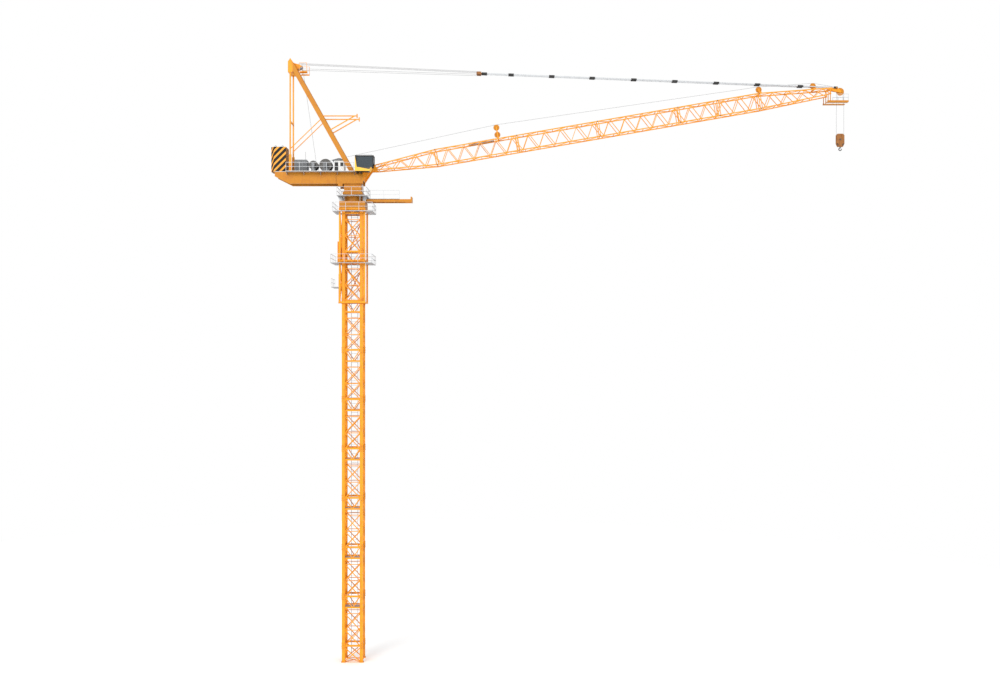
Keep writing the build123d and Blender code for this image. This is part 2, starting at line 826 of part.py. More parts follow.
# Head of the A-frame: a box with a crown, and plates that carry the luffing sheaves
luff_axle_z = deck_top + luff_axle_rise
crown = [(-head_rear, head_foot), (frame_head_x, head_foot), (frame_head_x, deck_top + head_top_rise),
         (frame_head_x - (head_rear + frame_head_x) / 2, deck_top + head_crown_rise),
         (-head_rear, deck_top + head_top_rise)]
bracket_outer = luff_axle_x + luff_sheave_radius
sheave_bracket = [(frame_head_x, head_foot + luff_sheave_radius),
                  (luff_axle_x, luff_axle_z - luff_sheave_radius),
                  (bracket_outer, luff_axle_z), (luff_axle_x, luff_axle_z + luff_sheave_radius / 2),
                  (frame_head_x, deck_top + head_top_rise)]
with BuildPart() as a_frame_head:
    plate(crown, -head_half_width, head_half_width)
    for y in (-luff_bracket_place, luff_bracket_place):
        plate(sheave_bracket, y - luff_bracket_thickness / 2, y + luff_bracket_thickness / 2)
    with Locations(Location((luff_axle_x, 0, luff_axle_z), (90, 0, 0))):
        Cylinder(axle_radius, 2 * luff_bracket_place)
finish(a_frame_head, "a_frame_head")

# Platform in front of the head, on two beams, with a slot for the ropes
walk_rear, walk_nose = head_walk_span
head_walk_top = deck_top + head_walk_rise
with BuildPart() as head_walk:
    low = head_walk_top - grating_thickness
    block((frame_head_x, head_walk_slot, low - head_walk_beam_width),
          (walk_nose, head_walk_slot + head_walk_beam_width, low))
    block((walk_rear, head_walk_slot, low), (walk_nose, head_walk_half_width, head_walk_top))
    railing_side((walk_rear, head_walk_half_width - railing_tube / 2),
                 (walk_nose, head_walk_half_width - railing_tube / 2), head_walk_top)
    mirror(about=Plane.XZ)
finish(head_walk, "a_frame_platform")

# Backstops: two arms with buffers that stop the jib when it stands steep
stop_z = deck_top + backstop_rise
stop_root = frame_foot_x + backstop_rise / leg_slope
with BuildPart() as backstops:
    with BuildSketch(side_plane(frame_plane + backstop_width / 2)) as arm:
        bars([((stop_root, stop_z), (backstop_reach, stop_z)),
              ((frame_foot_x + (backstop_rise - backstop_spread) / leg_slope, stop_z - backstop_spread),
               (backstop_reach - backstop_buffer, stop_z))], backstop_width)
        with BuildLine() as leg_edge:
            Polyline(*leg_outline, close=True)
        make_face(leg_edge.edges(), mode=Mode.SUBTRACT)
    arms = arm.sketch.faces().sort_by(SortBy.AREA)[-1]
    extrude(arms, amount=backstop_width)
    block((backstop_reach, frame_plane - backstop_width, stop_z - backstop_buffer),
          (backstop_reach + backstop_width, frame_plane + backstop_width, stop_z + backstop_buffer))
    mirror(about=Plane.XZ)
finish(backstops, "backstops")

# Cabinets and a small machine house on the deck
with BuildPart() as machinery_cabinets:
    for rear, front in cabinet_spans:
        block((rear, -cabinet_half_depth, deck_top), (front, cabinet_half_depth, deck_top + cabinet_height))
    fillet(machinery_cabinets.edges().filter_by(Axis.Y).group_by(Axis.Z)[-1], cabinet_corner)
    house_rear, house_front = house_span
    wall_top = deck_top + house_wall_height
    block((house_rear, -house_half_depth, deck_top), (house_front, house_half_depth, wall_top))
    block((house_rear - house_eaves, -house_half_depth - house_eaves, wall_top),
          (house_front + house_eaves, house_half_depth + house_eaves, wall_top + house_roof_rise))
finish(machinery_cabinets, "machinery_cabinets")

# Winches: a drum with flanges and an axle, between two side plates on the deck
drum_axis_z = deck_top + drum_axis_rise
winches = {"luffing_drum": (luffing_drum_x, luffing_drum_radius, luffing_flange_radius),
           "hoist_drum": (hoist_drum_x, hoist_drum_radius, hoist_flange_radius)}
side_inner_y = winch_side_place - winch_side_thickness / 2
for name, (x, drum_radius, flange_radius) in winches.items():
    drum_profile = [(0, -drum_half_length), (flange_radius, -drum_half_length),
                    (flange_radius, -drum_half_length + drum_flange_thickness),
                    (drum_radius, -drum_half_length + drum_flange_thickness),
                    (drum_radius, drum_half_length - drum_flange_thickness),
                    (flange_radius, drum_half_length - drum_flange_thickness),
                    (flange_radius, drum_half_length), (axle_radius, drum_half_length),
                    (axle_radius, side_inner_y - fit_gap), (0, side_inner_y - fit_gap)]
    with BuildPart() as drum:
        with BuildSketch(Plane((x, 0, drum_axis_z), x_dir=(1, 0, 0), z_dir=(0, 0, 1))):
            with BuildLine():
                Polyline(*drum_profile, close=True)
            make_face()
        revolve(axis=Axis((x, 0, drum_axis_z), (0, 1, 0)))
    finish(drum, name)

with BuildPart() as winch_frames:
    for x, drum_radius, flange_radius in winches.values():
        half_foot = drum_radius
        outline = [(x - half_foot, deck_top), (x + half_foot, deck_top),
                   (x + 2 * axle_radius, drum_axis_z + 2 * axle_radius),
                   (x - 2 * axle_radius, drum_axis_z + 2 * axle_radius)]
        for y in (-winch_side_place, winch_side_place):
            plate(outline, y - winch_side_thickness / 2, y + winch_side_thickness / 2)
        with Locations(Location((x, -side_inner_y - winch_side_thickness - motor_length / 2, drum_axis_z),
                                (90, 0, 0))):
            Cylinder(motor_radius, motor_length)
finish(winch_frames, "winch_frames")

# The jib's own plane: u runs along the jib from its foot pins, v stands square to it
along = (math.cos(math.radians(jib_angle)), math.sin(math.radians(jib_angle)))


def jib_plane(y):
    """An upright plane whose own x and y are the jib's u and v."""
    return Plane((pivot_x, y, pivot_z), x_dir=(along[0], 0, along[1]), z_dir=(0, -1, 0))


def jib_place(u, v, y=0):
    """A place in space from its u and v on the jib."""
    return (pivot_x + u * along[0] - v * along[1], y, pivot_z + u * along[1] + v * along[0])


def jib_plate(outline, y_low, y_high, holes=()):
    """A plate in the jib's plane, with an outline and round holes in u and v."""
    with BuildSketch(jib_plane(y_high)) as face:
        with BuildLine() as edge:
            Polyline(*outline, close=True)
        make_face(edge.edges())
        for place, radius in holes:
            with Locations(place):
                Circle(radius, mode=Mode.SUBTRACT)
    extrude(face.sketch, amount=y_high - y_low)


def between(points, u):
    """Height of a chord at one u, from the corners of the chord."""
    for (u0, v0), (u1, v1) in zip(points, points[1:]):
        if u0 <= u <= u1:
            return v0 + (v1 - v0) * (u - u0) / (u1 - u0)
    return points[-1][1]


# Foot brackets: a plate across the girders' ends, with a pair of ears and a pin on each side
truss_inner = truss_place - truss_depth / 2
truss_outer = truss_place + truss_depth / 2
ear_spans = ((truss_inner - foot_side_gap - foot_plate_thickness, truss_inner - foot_side_gap),
             (truss_outer + foot_side_gap, truss_outer + foot_side_gap + foot_plate_thickness))
ear_root = girder_front + bracket_end_plate
ear_outline = [(ear_root, bracket_low), (pivot_x, pivot_z - bracket_nose_radius),
               (pivot_x + bracket_nose_radius, pivot_z), (pivot_x, pivot_z + bracket_nose_radius),
               (ear_root, bracket_high)]
with BuildPart() as jib_foot_bracket:
    block((girder_front, -girder_outer, bracket_low), (ear_root, girder_outer, bracket_high))
    for low, high in ear_spans:
        plate(ear_outline, low, high)
        plate(ear_outline, -high, -low)
    for side in (-1, 1):
        with Locations(Location((pivot_x, side * truss_place, pivot_z), (90, 0, 0))):
            Cylinder(foot_pin_radius, ear_spans[1][1] - ear_spans[0][0])
finish(jib_foot_bracket, "jib_foot_bracket")

# Side trusses: chords, zigzag braces and double posts, with an eye at the foot
top_chord = [(root_start, root_half_height), (root_end, main_half_height),
             (main_end, main_half_height), (tip_end, tip_top)]
bottom_chord = [(root_start, -root_half_height), (root_end, -main_half_height),
                (main_end, -main_half_height), (tip_end, tip_bottom)]
panels = round((tip_end - root_start - chord_width) / panel_pitch)
pitch = (tip_end - root_start - chord_width) / panels
zigzag = []
for i in range(panels):
    chords = (bottom_chord, top_chord) if i % 2 == 0 else (top_chord, bottom_chord)
    ends = [root_start + chord_width / 2 + (i + step) * pitch for step in (0, 1)]
    zigzag.append(tuple((u, between(chord, u)) for u, chord in zip(ends, chords)))
posts = [((u, between(bottom_chord, u)), (u, between(top_chord, u)))
         for place in post_places for u in (place - post_spread, place + post_spread)]
half_chord = chord_width / 2
with BuildPart() as jib_trusses:
    with BuildSketch(jib_plane(truss_outer)) as side:
        bars(zigzag, lace_width)
        bars(posts, lace_width)
        for chord in (top_chord, bottom_chord):
            bars(list(zip(chord, chord[1:])), chord_width)
            with Locations(*chord[1:-1]):
                Circle(half_chord)
        tip_u = tip_end - half_chord
        bars([((tip_u, tip_bottom - half_chord), (tip_u, tip_top + half_chord))], chord_width)
        with Locations((tip_end + main_half_height, 0)):
            Rectangle(2 * main_half_height, 2 * main_half_height, mode=Mode.SUBTRACT)
    extrude(side.sketch, amount=truss_depth)
    root_reach = root_half_height + half_chord
    jib_plate([(0, foot_eye_radius), (root_start + chord_width, root_reach),
               (root_start + chord_width, -root_reach), (0, -foot_eye_radius)], truss_inner, truss_outer)
    with Locations(Location(jib_place(0, 0, truss_place), (90, 0, 0))):
        Cylinder(foot_eye_radius, truss_depth)
        Cylinder(foot_pin_radius + pin_gap, truss_depth, mode=Mode.SUBTRACT)
    mirror(about=Plane.XZ)
finish(jib_trusses, "jib_side_trusses")


def lacing(chord, start, end):
    """Zigzag lacing between the two trusses along one chord, in a piece for each straight run."""
    for (u0, v0), (u1, v1) in zip(chord, chord[1:]):
        first = max(u0, start) + panel_gap
        last = min(u1, end) - panel_gap
        if last <= first:
            continue
        slope = (v1 - v0) / (u1 - u0)
        low = v0 + (first - u0) * slope
        length = math.dist((first, low), (last, v0 + (last - u0) * slope))
        tilt = jib_angle + math.degrees(math.atan(slope))
        run_dir = (math.cos(math.radians(tilt)), 0, math.sin(math.radians(tilt)))
        run = Plane(jib_place(first, low), x_dir=run_dir, z_dir=(-run_dir[2], 0, run_dir[0]))
        bays = max(1, round(length / lacing_pitch))
        step = length / bays
        laces = [((i * step, truss_inner * (-1) ** i), ((i + 1) * step, truss_inner * (-1) ** (i + 1)))
                 for i in range(bays)]
        cross = [((i * step, -truss_inner), (i * step, truss_inner)) for i in range(bays + 1)]
        with BuildSketch(run.offset(-lace_width / 2)) as web:
            bars(laces + cross, lace_width)
            with Locations((length / 2, 0)):
                Rectangle(length, 2 * truss_inner, mode=Mode.INTERSECT)
        extrude(web.sketch, amount=lace_width)


with BuildPart() as top_lacing:
    lacing(top_chord, lacing_start, tip_end - chord_width)
finish(top_lacing, "jib_top_lacing")
with BuildPart() as bottom_lacing:
    lacing(bottom_chord, lacing_start, open_tip_start)
finish(bottom_lacing, "jib_bottom_lacing")

# Jib head: a cross tube on the trusses' ends, and two cheeks that hold the sheave and the pin
cheek_outer = cheek_inner + cheek_thickness
tube_top = tip_top + half_chord
cheek = [(tip_end, tube_top - tip_tube_drop), (tip_end, tube_top),
         (pendant_u, pendant_v + cheek_margin),
         (pendant_u + cheek_margin, pendant_v), (head_sheave_u + cheek_margin, head_sheave_v),
         (head_sheave_u, head_sheave_v - cheek_margin)]
link_outer = bar_place + bar_thickness / 2 + link_thickness
with BuildPart() as jib_head:
    jib_plate([(tip_end, tube_top - tip_tube_drop), (tip_end + tip_tube_length, tube_top - tip_tube_drop),
               (tip_end + tip_tube_length, tube_top), (tip_end, tube_top)], -truss_outer, truss_outer)
    for low, high in ((-cheek_outer, -cheek_inner), (cheek_inner, cheek_outer)):
        jib_plate(cheek, low, high)
    with Locations(Location(jib_place(pendant_u, pendant_v), (90, 0, 0))):
        Cylinder(pendant_pin_radius, 2 * (link_outer + panel_gap))
finish(jib_head, "jib_head")


def sheave(name, place, radius):
    """A grooved rope sheave with its axle, turning about Y."""
    flange = groove_half_width + flange_thickness
    floor = radius - 2 * rope_radius - 2 * fit_gap
    rim = [(0, -cheek_inner + fit_gap), (axle_radius, -cheek_inner + fit_gap), (axle_radius, -flange),
           (radius, -flange), (radius, -groove_half_width), (floor, -groove_half_width)]
    outline = rim + [(x, -y) for x, y in reversed(rim)]
    with BuildPart() as wheel:
        with BuildSketch(Plane(place, x_dir=(1, 0, 0), z_dir=(0, 0, 1))):
            with BuildLine():
                Polyline(*outline, close=True)
            make_face()
        revolve(axis=Axis(place, (0, 1, 0)))
    finish(wheel, name)


sheave("head_sheave", jib_place(head_sheave_u, head_sheave_v), head_sheave_radius)
guide_names = ("upper_guide_sheave", "lower_guide_sheave", "tip_guide_sheave", "head_guide_sheave")
for name, (u, v) in zip(guide_names, guide_places):
    sheave(name, jib_place(u, v), guide_radius)

# Stands for the guide sheaves: a cross beam on the top chords and two raking plates
with BuildPart() as guide_stands:
    for u, v in (guide_places[0], guide_places[2], guide_places[3]):
        foot = between(top_chord, u - stand_foot_width / 2) + half_chord + fit_gap
        jib_plate([(u - stand_foot_width / 2, foot), (u + stand_foot_width / 2, foot),
                   (u + stand_foot_width / 2, foot + stand_beam_height),
                   (u - stand_foot_width / 2, foot + stand_beam_height)], -truss_outer, truss_outer)
        outline = [(u - stand_foot_width / 2, foot), (u + stand_foot_width / 2, foot),
                   (u + stand_foot_width / 2, v + stand_foot_width / 2),
                   (u - stand_foot_width / 2, v + stand_foot_width / 2)]
        for side in (-1, 1):
            inner, outer = sorted((side * cheek_inner, side * (cheek_inner + stand_thickness)))
            jib_plate(outline, inner, outer)
finish(guide_stands, "guide_stands")

# Walkway on the jib and the level platform under its head
walk_start, walk_stop = walk_on_jib
walk_v = main_half_height + half_chord
with BuildPart() as jib_walkways:
    jib_plate([(walk_start, walk_v), (walk_stop, walk_v), (walk_stop, walk_v + grating_thickness),
               (walk_start, walk_v + grating_thickness)], -walk_on_jib_half_width, -cheek_outer)
    jib_plate([(walk_start, walk_v), (walk_stop, walk_v), (walk_stop, walk_v + grating_thickness),
               (walk_start, walk_v + grating_thickness)], cheek_outer, walk_on_jib_half_width)
finish(jib_walkways, "jib_walkway")

with BuildPart() as head_platform:
    block((head_platform_rear, head_platform_inner, head_platform_level - grating_thickness),
          (head_platform_rear + head_platform_length, truss_outer + hanger_width, head_platform_level))
    for offset in hanger_offsets:
        x = head_platform_rear + offset
        top = jib_place(tip_end, tip_bottom)[2]
        block((x - hanger_width / 2, truss_outer, head_platform_level),
              (x + hanger_width / 2, truss_outer + hanger_width, top))
    mirror(about=Plane.XZ)
finish(head_platform, "jib_head_platform")

# Ropes lie in their grooves, so their centre lines run a little inside each sheave's rim
rope_inset = rope_radius + fit_gap


def tangent_points(a, radius_a, b, radius_b, side=1):
    """Where a straight rope leaves one sheave and meets the next, on the same side of both."""
    run = Vector(b[0] - a[0], 0, b[2] - a[2])
    forward = run.normalized()
    up = Vector(-forward.Z, 0, forward.X) * side
    lean = (radius_a - radius_b) / run.length
    normal = forward * lean + up * math.sqrt(1 - lean * lean)
    return Vector(*a) + normal * radius_a, Vector(*b) + normal * radius_b


def straight_rope(start, end, radius=rope_radius):
    """A straight stretch of rope between two points."""
    run = Vector(*end) - Vector(*start)
    with BuildSketch(Plane(start, z_dir=run.normalized())) as section:
        Circle(radius)
    extrude(section.sketch, amount=run.length)


# Luffing sheaves: three grooved wheels on one hub, turning on the A-frame's axle
luff_axle = (luff_axle_x, 0, luff_axle_z)
hub_end = luff_bracket_place - luff_bracket_thickness / 2 - fit_gap
hub_radius = axle_radius + flange_thickness
groove_floor = luff_sheave_radius - 2 * rope_inset
wheel_half = groove_half_width + flange_thickness
outline = [(axle_radius + pin_gap, -hub_end), (hub_radius, -hub_end)]
for middle in (-luff_sheave_pitch, 0, luff_sheave_pitch):
    outline += [(hub_radius, middle - wheel_half), (luff_sheave_radius, middle - wheel_half),
                (luff_sheave_radius, middle - groove_half_width), (groove_floor, middle - groove_half_width),
                (groove_floor, middle + groove_half_width), (luff_sheave_radius, middle + groove_half_width),
                (luff_sheave_radius, middle + wheel_half), (hub_radius, middle + wheel_half)]
outline += [(hub_radius, hub_end), (axle_radius + pin_gap, hub_end)]
with BuildPart() as luffing_sheaves:
    with BuildSketch(Plane(luff_axle, x_dir=(1, 0, 0), z_dir=(0, 0, 1))):
        with BuildLine():
            Polyline(*outline, close=True)
        make_face()
    revolve(axis=Axis(luff_axle, (0, 1, 0)))
finish(luffing_sheaves, "luffing_sheaves")

# Pendant line from the jib head to the travelling block, in its own plane: s runs to the block
pendant_pin = jib_place(pendant_u, pendant_v)
pendant_run = Vector(block_x, 0, block_z) - Vector(*pendant_pin)
pendant_dir = pendant_run.normalized()
block_s = pendant_run.length


def pendant_plate(s_low, s_high, half_height, y_low, y_high, bore=None):
    """A flat plate along the pendant line, with a bore at the pin if one is given."""
    with BuildSketch(Plane((pendant_pin[0], y_high, pendant_pin[2]), x_dir=pendant_dir,
                           z_dir=(0, -1, 0))) as face:
        with Locations(((s_low + s_high) / 2, 0)):
            Rectangle(s_high - s_low, 2 * half_height)
        if bore:
            Circle(bore, mode=Mode.SUBTRACT)
    extrude(face.sketch, amount=y_high - y_low)


bar_inner = bar_place - bar_thickness / 2
bar_outer = bar_place + bar_thickness / 2
first_bar = pendant_pin_radius + panel_gap
with BuildPart() as pendant_bars:
    for start, end in zip((first_bar - panel_gap, *link_places), link_places):
        pendant_plate(start + panel_gap, end - panel_gap, bar_height / 2, bar_inner, bar_outer)
    mirror(about=Plane.XZ)
finish(pendant_bars, "pendant_bars")

link_sides = ((bar_inner - link_thickness, bar_inner), (bar_outer, bar_outer + link_thickness))
with BuildPart() as pendant_links:
    for low, high in link_sides:
        pendant_plate(-link_height / 2, link_length / 2, link_height / 2, low, high,
                      bore=pendant_pin_radius + pin_gap)
        for place in link_places:
            pendant_plate(place - link_length / 2, place + link_length / 2, link_height / 2, low, high)
    mirror(about=Plane.XZ)
finish(pendant_links, "pendant_links")

# Travelling block: a yoke, a cross beam and cheeks with three small sheaves
yoke_start = link_places[-1] + panel_gap
beam_start = yoke_start + block_yoke_length
beam_end = beam_start + block_beam_length
cheek_end = block_s + block_cheek_reach
block_axle = (block_x, 0, block_z)
small_floor = block_sheave_radius - 2 * rope_inset
with BuildPart() as pendant_block:
    for side in (-1, 1):
        low, high = sorted((side * bar_inner, side * bar_outer))
        pendant_plate(yoke_start, beam_end, bar_height / 2, low, high)
        for place in block_cheek_places:
            low, high = sorted((side * place, side * (place + block_cheek_thickness)))
            pendant_plate(beam_start, cheek_end, block_cheek_height / 2, low, high)
    half_beam = block_cheek_places[1] + block_cheek_thickness
    pendant_plate(beam_start, beam_end, block_beam_height / 2, -half_beam, half_beam)
    with Locations(Location(block_axle, (90, 0, 0))):
        Cylinder(block_axle_radius, 2 * half_beam)
    for middle in (-luff_sheave_pitch, 0, luff_sheave_pitch):
        for offset, radius, width in ((0, small_floor, 2 * wheel_half),
                                      (groove_half_width + flange_thickness / 2, block_sheave_radius,
                                       flange_thickness),
                                      (-groove_half_width - flange_thickness / 2, block_sheave_radius,
                                       flange_thickness)):
            with Locations(Location((block_x, middle + offset, block_z), (90, 0, 0))):
                Cylinder(radius, width)
finish(pendant_block, "pendant_block")

with BuildPart() as luffing_ropes:
    for side in (-1, 1):
        start, end = tangent_points(luff_axle, luff_sheave_radius - rope_inset,
                                    block_axle, block_sheave_radius - rope_inset, side)
        middles = (-luff_sheave_pitch, luff_sheave_pitch) + ((0,) if side > 0 else ())
        for middle in middles:
            straight_rope((start.X, middle, start.Z), (end.X, middle, end.Z))
finish(luffing_ropes, "luffing_ropes")

# The luffing rope's last stretch, down the front of the A-frame to its drum
with BuildPart() as luffing_lead:
    start, end = tangent_points((luffing_drum_x, 0, drum_axis_z), luffing_drum_radius + rope_inset,
                                luff_axle, luff_sheave_radius - rope_inset, -1)
    straight_rope(start, end)
finish(luffing_lead, "luffing_lead")

# Hoist rope: from its drum to the upper guide sheave, then along the jib to the head sheave
hoist_axle = (hoist_drum_x, 0, drum_axis_z)
wheels = [jib_place(u, v) for u, v in (guide_places[0], guide_places[2], guide_places[3],
                                       (head_sheave_u, head_sheave_v))]
wheel_radii = [guide_radius - rope_inset] * 3 + [head_sheave_radius - rope_inset]
lead_start, lead_end = tangent_points(hoist_axle, hoist_drum_radius + rope_inset, wheels[0], wheel_radii[0])
with BuildPart() as hoist_lead:
    straight_rope(lead_start, lead_end)
finish(hoist_lead, "hoist_lead")

runs = [tangent_points(a, ra, b, rb) for a, ra, b, rb in
        zip(wheels, wheel_radii, wheels[1:], wheel_radii[1:])]
arrivals = [lead_end] + [end for start, end in runs]
fall_top = Vector(*wheels[-1]) + Vector(wheel_radii[-1], 0, 0)
departures = [start for start, end in runs] + [fall_top]
with BuildLine() as rope_line:
    for i, wheel in enumerate(wheels):
        centre = Vector(*wheel)
        across = ((arrivals[i] - centre) + (departures[i] - centre)).normalized() * wheel_radii[i]
        ThreePointArc(arrivals[i], centre + across, departures[i])
        if i < len(runs):
            Line(*runs[i])
with BuildPart() as jib_rope:
    with BuildSketch(Plane(lead_end, z_dir=rope_line.wire() % 0)) as rope_section:
        Circle(rope_radius)
    sweep(rope_section.sketch, path=rope_line.wire())
finish(jib_rope, "jib_rope")

# Hook block: the two falls, the cheeks with the crosshead, the sheave and the hook
fall_x = wheels[-1][0]
with BuildPart() as hoist_falls:
    for side in (-1, 1):
        x = fall_x + side * wheel_radii[-1]
        straight_rope((x, 0, block_axle_z), (x, 0, wheels[-1][2]))
finish(hoist_falls, "hoist_falls")

sheave("hook_sheave", (fall_x, 0, block_axle_z), head_sheave_radius)
rear, front = fall_x - hook_cheek_half_length, fall_x + hook_cheek_half_length
cheek_sheet = [(rear + hook_corner, hook_cheek_bottom), (front - hook_corner, hook_cheek_bottom),
               (front, hook_cheek_bottom + 2 * hook_corner), (front, hook_cheek_top - hook_corner),
               (front - hook_corner, hook_cheek_top), (rear + hook_corner, hook_cheek_top),
               (rear, hook_cheek_top - hook_corner), (rear, hook_cheek_bottom + 2 * hook_corner)]
crosshead_top = crosshead_low + crosshead_height
with BuildPart() as hook_block:
    for low, high in ((-cheek_inner - hook_cheek_thickness, -cheek_inner),
                      (cheek_inner, cheek_inner + hook_cheek_thickness)):
        plate(cheek_sheet, low, high)
    block((fall_x - crosshead_half_length, -cheek_inner, crosshead_low),
          (fall_x + crosshead_half_length, cheek_inner, crosshead_top))
    with Locations((fall_x, 0, crosshead_low)):
        Cylinder(shank_radius + pin_gap, crosshead_height, mode=Mode.SUBTRACT,
                 align=(Align.CENTER, Align.CENTER, Align.MIN))
finish(hook_block, "hook_block")

neck_low = hook_bowl_z + (hook_throat_radius + hook_bowl_radius) / 2
neck_high = crosshead_low - fit_gap
nut_foot = crosshead_top + fit_gap
with BuildPart() as hook:
    with BuildSketch(side_plane(hook_thickness / 2)) as bowl:
        with Locations((fall_x, hook_bowl_z)):
            Circle(hook_bowl_radius)
            Circle(hook_throat_radius, mode=Mode.SUBTRACT)
        with Locations((fall_x + hook_bowl_radius, hook_bowl_z + hook_mouth_height)):
            Rectangle(2 * hook_bowl_radius, hook_mouth_height, mode=Mode.SUBTRACT)
        with Locations((fall_x, (neck_low + neck_high) / 2)):
            Rectangle(hook_neck_width, neck_high - neck_low)
    extrude(amount=hook_thickness)
    with Locations((fall_x, 0, neck_high)):
        Cylinder(shank_radius, nut_foot + nut_height - neck_high,
                 align=(Align.CENTER, Align.CENTER, Align.MIN))
    with BuildSketch(Plane((fall_x, 0, nut_foot))):
        RegularPolygon(nut_radius, side_count=6)
    extrude(amount=nut_height)
finish(hook, "hook")
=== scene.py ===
"""Finishes, ropes and fine fittings of a luffing jib tower crane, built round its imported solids."""
import json
import math

import bpy
import numpy as np
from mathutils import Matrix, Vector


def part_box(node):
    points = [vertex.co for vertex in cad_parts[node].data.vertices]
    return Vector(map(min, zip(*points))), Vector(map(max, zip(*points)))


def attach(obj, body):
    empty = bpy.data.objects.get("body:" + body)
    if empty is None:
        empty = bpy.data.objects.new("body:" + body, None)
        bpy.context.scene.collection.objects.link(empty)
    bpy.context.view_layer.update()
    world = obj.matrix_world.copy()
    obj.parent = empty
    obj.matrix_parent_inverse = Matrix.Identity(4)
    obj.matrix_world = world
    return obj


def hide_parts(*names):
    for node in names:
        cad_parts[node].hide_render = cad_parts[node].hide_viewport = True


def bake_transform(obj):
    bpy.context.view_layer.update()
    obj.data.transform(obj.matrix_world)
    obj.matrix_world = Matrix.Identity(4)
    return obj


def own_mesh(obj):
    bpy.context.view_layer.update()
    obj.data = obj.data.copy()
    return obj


bl_info = {
    "name": "Tower Crane Finishes",
    "version": (1, 0, 0),
    "blender": (4, 5, 0),
    "location": "View3D > Sidebar > Crane",
    "description": "Paint, ropes, ladders and small fittings of a luffing jib tower crane",
    "category": "Object",
}

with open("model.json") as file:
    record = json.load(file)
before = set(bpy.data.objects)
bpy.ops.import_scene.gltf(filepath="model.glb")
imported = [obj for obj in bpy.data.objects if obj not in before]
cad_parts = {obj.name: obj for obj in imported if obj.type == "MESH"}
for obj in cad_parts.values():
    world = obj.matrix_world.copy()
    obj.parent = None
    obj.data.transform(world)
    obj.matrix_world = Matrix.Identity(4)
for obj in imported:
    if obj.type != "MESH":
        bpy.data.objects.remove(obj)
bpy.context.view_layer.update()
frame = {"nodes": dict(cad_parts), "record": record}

joints = {joint["name"]: joint for joint in frame["record"]["behaviour"]["joints"]}
hoist_drum_axle = np.array(joints["hoist_lead_swing"]["pos_m"])
jib_pivot = np.array(joints["luff"]["pos_m"])


def node_box(name):
    """A node's lowest and highest corner as arrays."""
    low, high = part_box(name)
    return np.array(low), np.array(high)


class CraneColours(bpy.types.PropertyGroup):
    """Paints and metals of the crane."""
    orange: bpy.props.FloatVectorProperty(
        name="Orange paint", description="Paint of the mast, jib and girders",
        subtype="COLOR", size=3, min=0, max=1, default=(0.83, 0.315, 0.010))
    orange_dark: bpy.props.FloatVectorProperty(
        name="Orange shade", description="Weathered tone of the orange paint",
        subtype="COLOR", size=3, min=0, max=1, default=(0.62, 0.200, 0.008))
    yellow: bpy.props.FloatVectorProperty(
        name="Cab yellow", description="Paint of the cab's rear post and sill",
        subtype="COLOR", size=3, min=0, max=1, default=(0.86, 0.50, 0.06))
    zinc: bpy.props.FloatVectorProperty(
        name="Zinc", description="Galvanised gratings and railings",
        subtype="COLOR", size=3, min=0, max=1, default=(0.50, 0.51, 0.52))
    grey: bpy.props.FloatVectorProperty(
        name="Machinery grey", description="Paint of the winches and cabinets",
        subtype="COLOR", size=3, min=0, max=1, default=(0.17, 0.175, 0.18))
    pale: bpy.props.FloatVectorProperty(
        name="House white", description="Walls of the small machine house",
        subtype="COLOR", size=3, min=0, max=1, default=(0.82, 0.82, 0.80))
    black: bpy.props.FloatVectorProperty(
        name="Black", description="Link plates, hazard stripes, hook and cab frame",
        subtype="COLOR", size=3, min=0, max=1, default=(0.018, 0.017, 0.016))
    stripe: bpy.props.FloatVectorProperty(
        name="Stripe yellow", description="Light bands of the hazard stripes",
        subtype="COLOR", size=3, min=0, max=1, default=(0.80, 0.34, 0.045))
    rope: bpy.props.FloatVectorProperty(
        name="Wire rope", description="Greased steel wire rope",
        subtype="COLOR", size=3, min=0, max=1, default=(0.17, 0.17, 0.175))
    # The hook block's colour is the orange paint darkened to brown: painted shade.
    block: bpy.props.FloatVectorProperty(
        name="Hook block", description="Orange paint of the hook block, darkened by painted shade",
        subtype="COLOR", size=3, min=0, max=1, default=(0.30, 0.12, 0.03))
    glass: bpy.props.FloatVectorProperty(
        name="Glass", description="Tinted glass of the cab",
        subtype="COLOR", size=3, min=0, max=1, default=(0.035, 0.05, 0.06))


class CraneSizes(bpy.types.PropertyGroup):
    """Sizes of the fittings that are added to the solids."""
    rope_radius: bpy.props.FloatProperty(
        name="Rope radius", description="Radius of the hoist and luffing ropes",
        unit="LENGTH", min=0.003, max=0.02, default=0.007)
    rung_pitch: bpy.props.FloatProperty(
        name="Rung pitch", description="Distance between two rungs of a ladder",
        unit="LENGTH", min=0.1, max=0.3, default=0.14)
    rung_radius: bpy.props.FloatProperty(
        name="Rung radius", description="Radius of a ladder rung",
        unit="LENGTH", min=0.004, max=0.02, default=0.008)
    bolt_radius: bpy.props.FloatProperty(
        name="Bolt radius", description="Radius of a flange bolt's head",
        unit="LENGTH", min=0.005, max=0.03, default=0.014)
    ring_bolts: bpy.props.IntProperty(
        name="Ring bolts", description="Bolts round the slewing ring", min=12, max=96, default=48)
    stripe_width: bpy.props.FloatProperty(
        name="Stripe width", description="Width of one hazard stripe",
        unit="LENGTH", min=0.05, max=0.4, default=0.14)
    hoist_barrel: bpy.props.FloatProperty(
        name="Hoist drum", description="Radius of the hoist drum's barrel",
        unit="LENGTH", min=0.1, max=0.4, default=0.26)
    luffing_barrel: bpy.props.FloatProperty(
        name="Luffing drum", description="Radius of the luffing drum's barrel",
        unit="LENGTH", min=0.1, max=0.3, default=0.15)
    winding_turns: bpy.props.IntProperty(
        name="Windings", description="Turns of rope on each drum", min=4, max=40, default=34)
    louvres: bpy.props.IntProperty(
        name="Louvres", description="Slats in one cabinet wall", min=3, max=20, default=9)


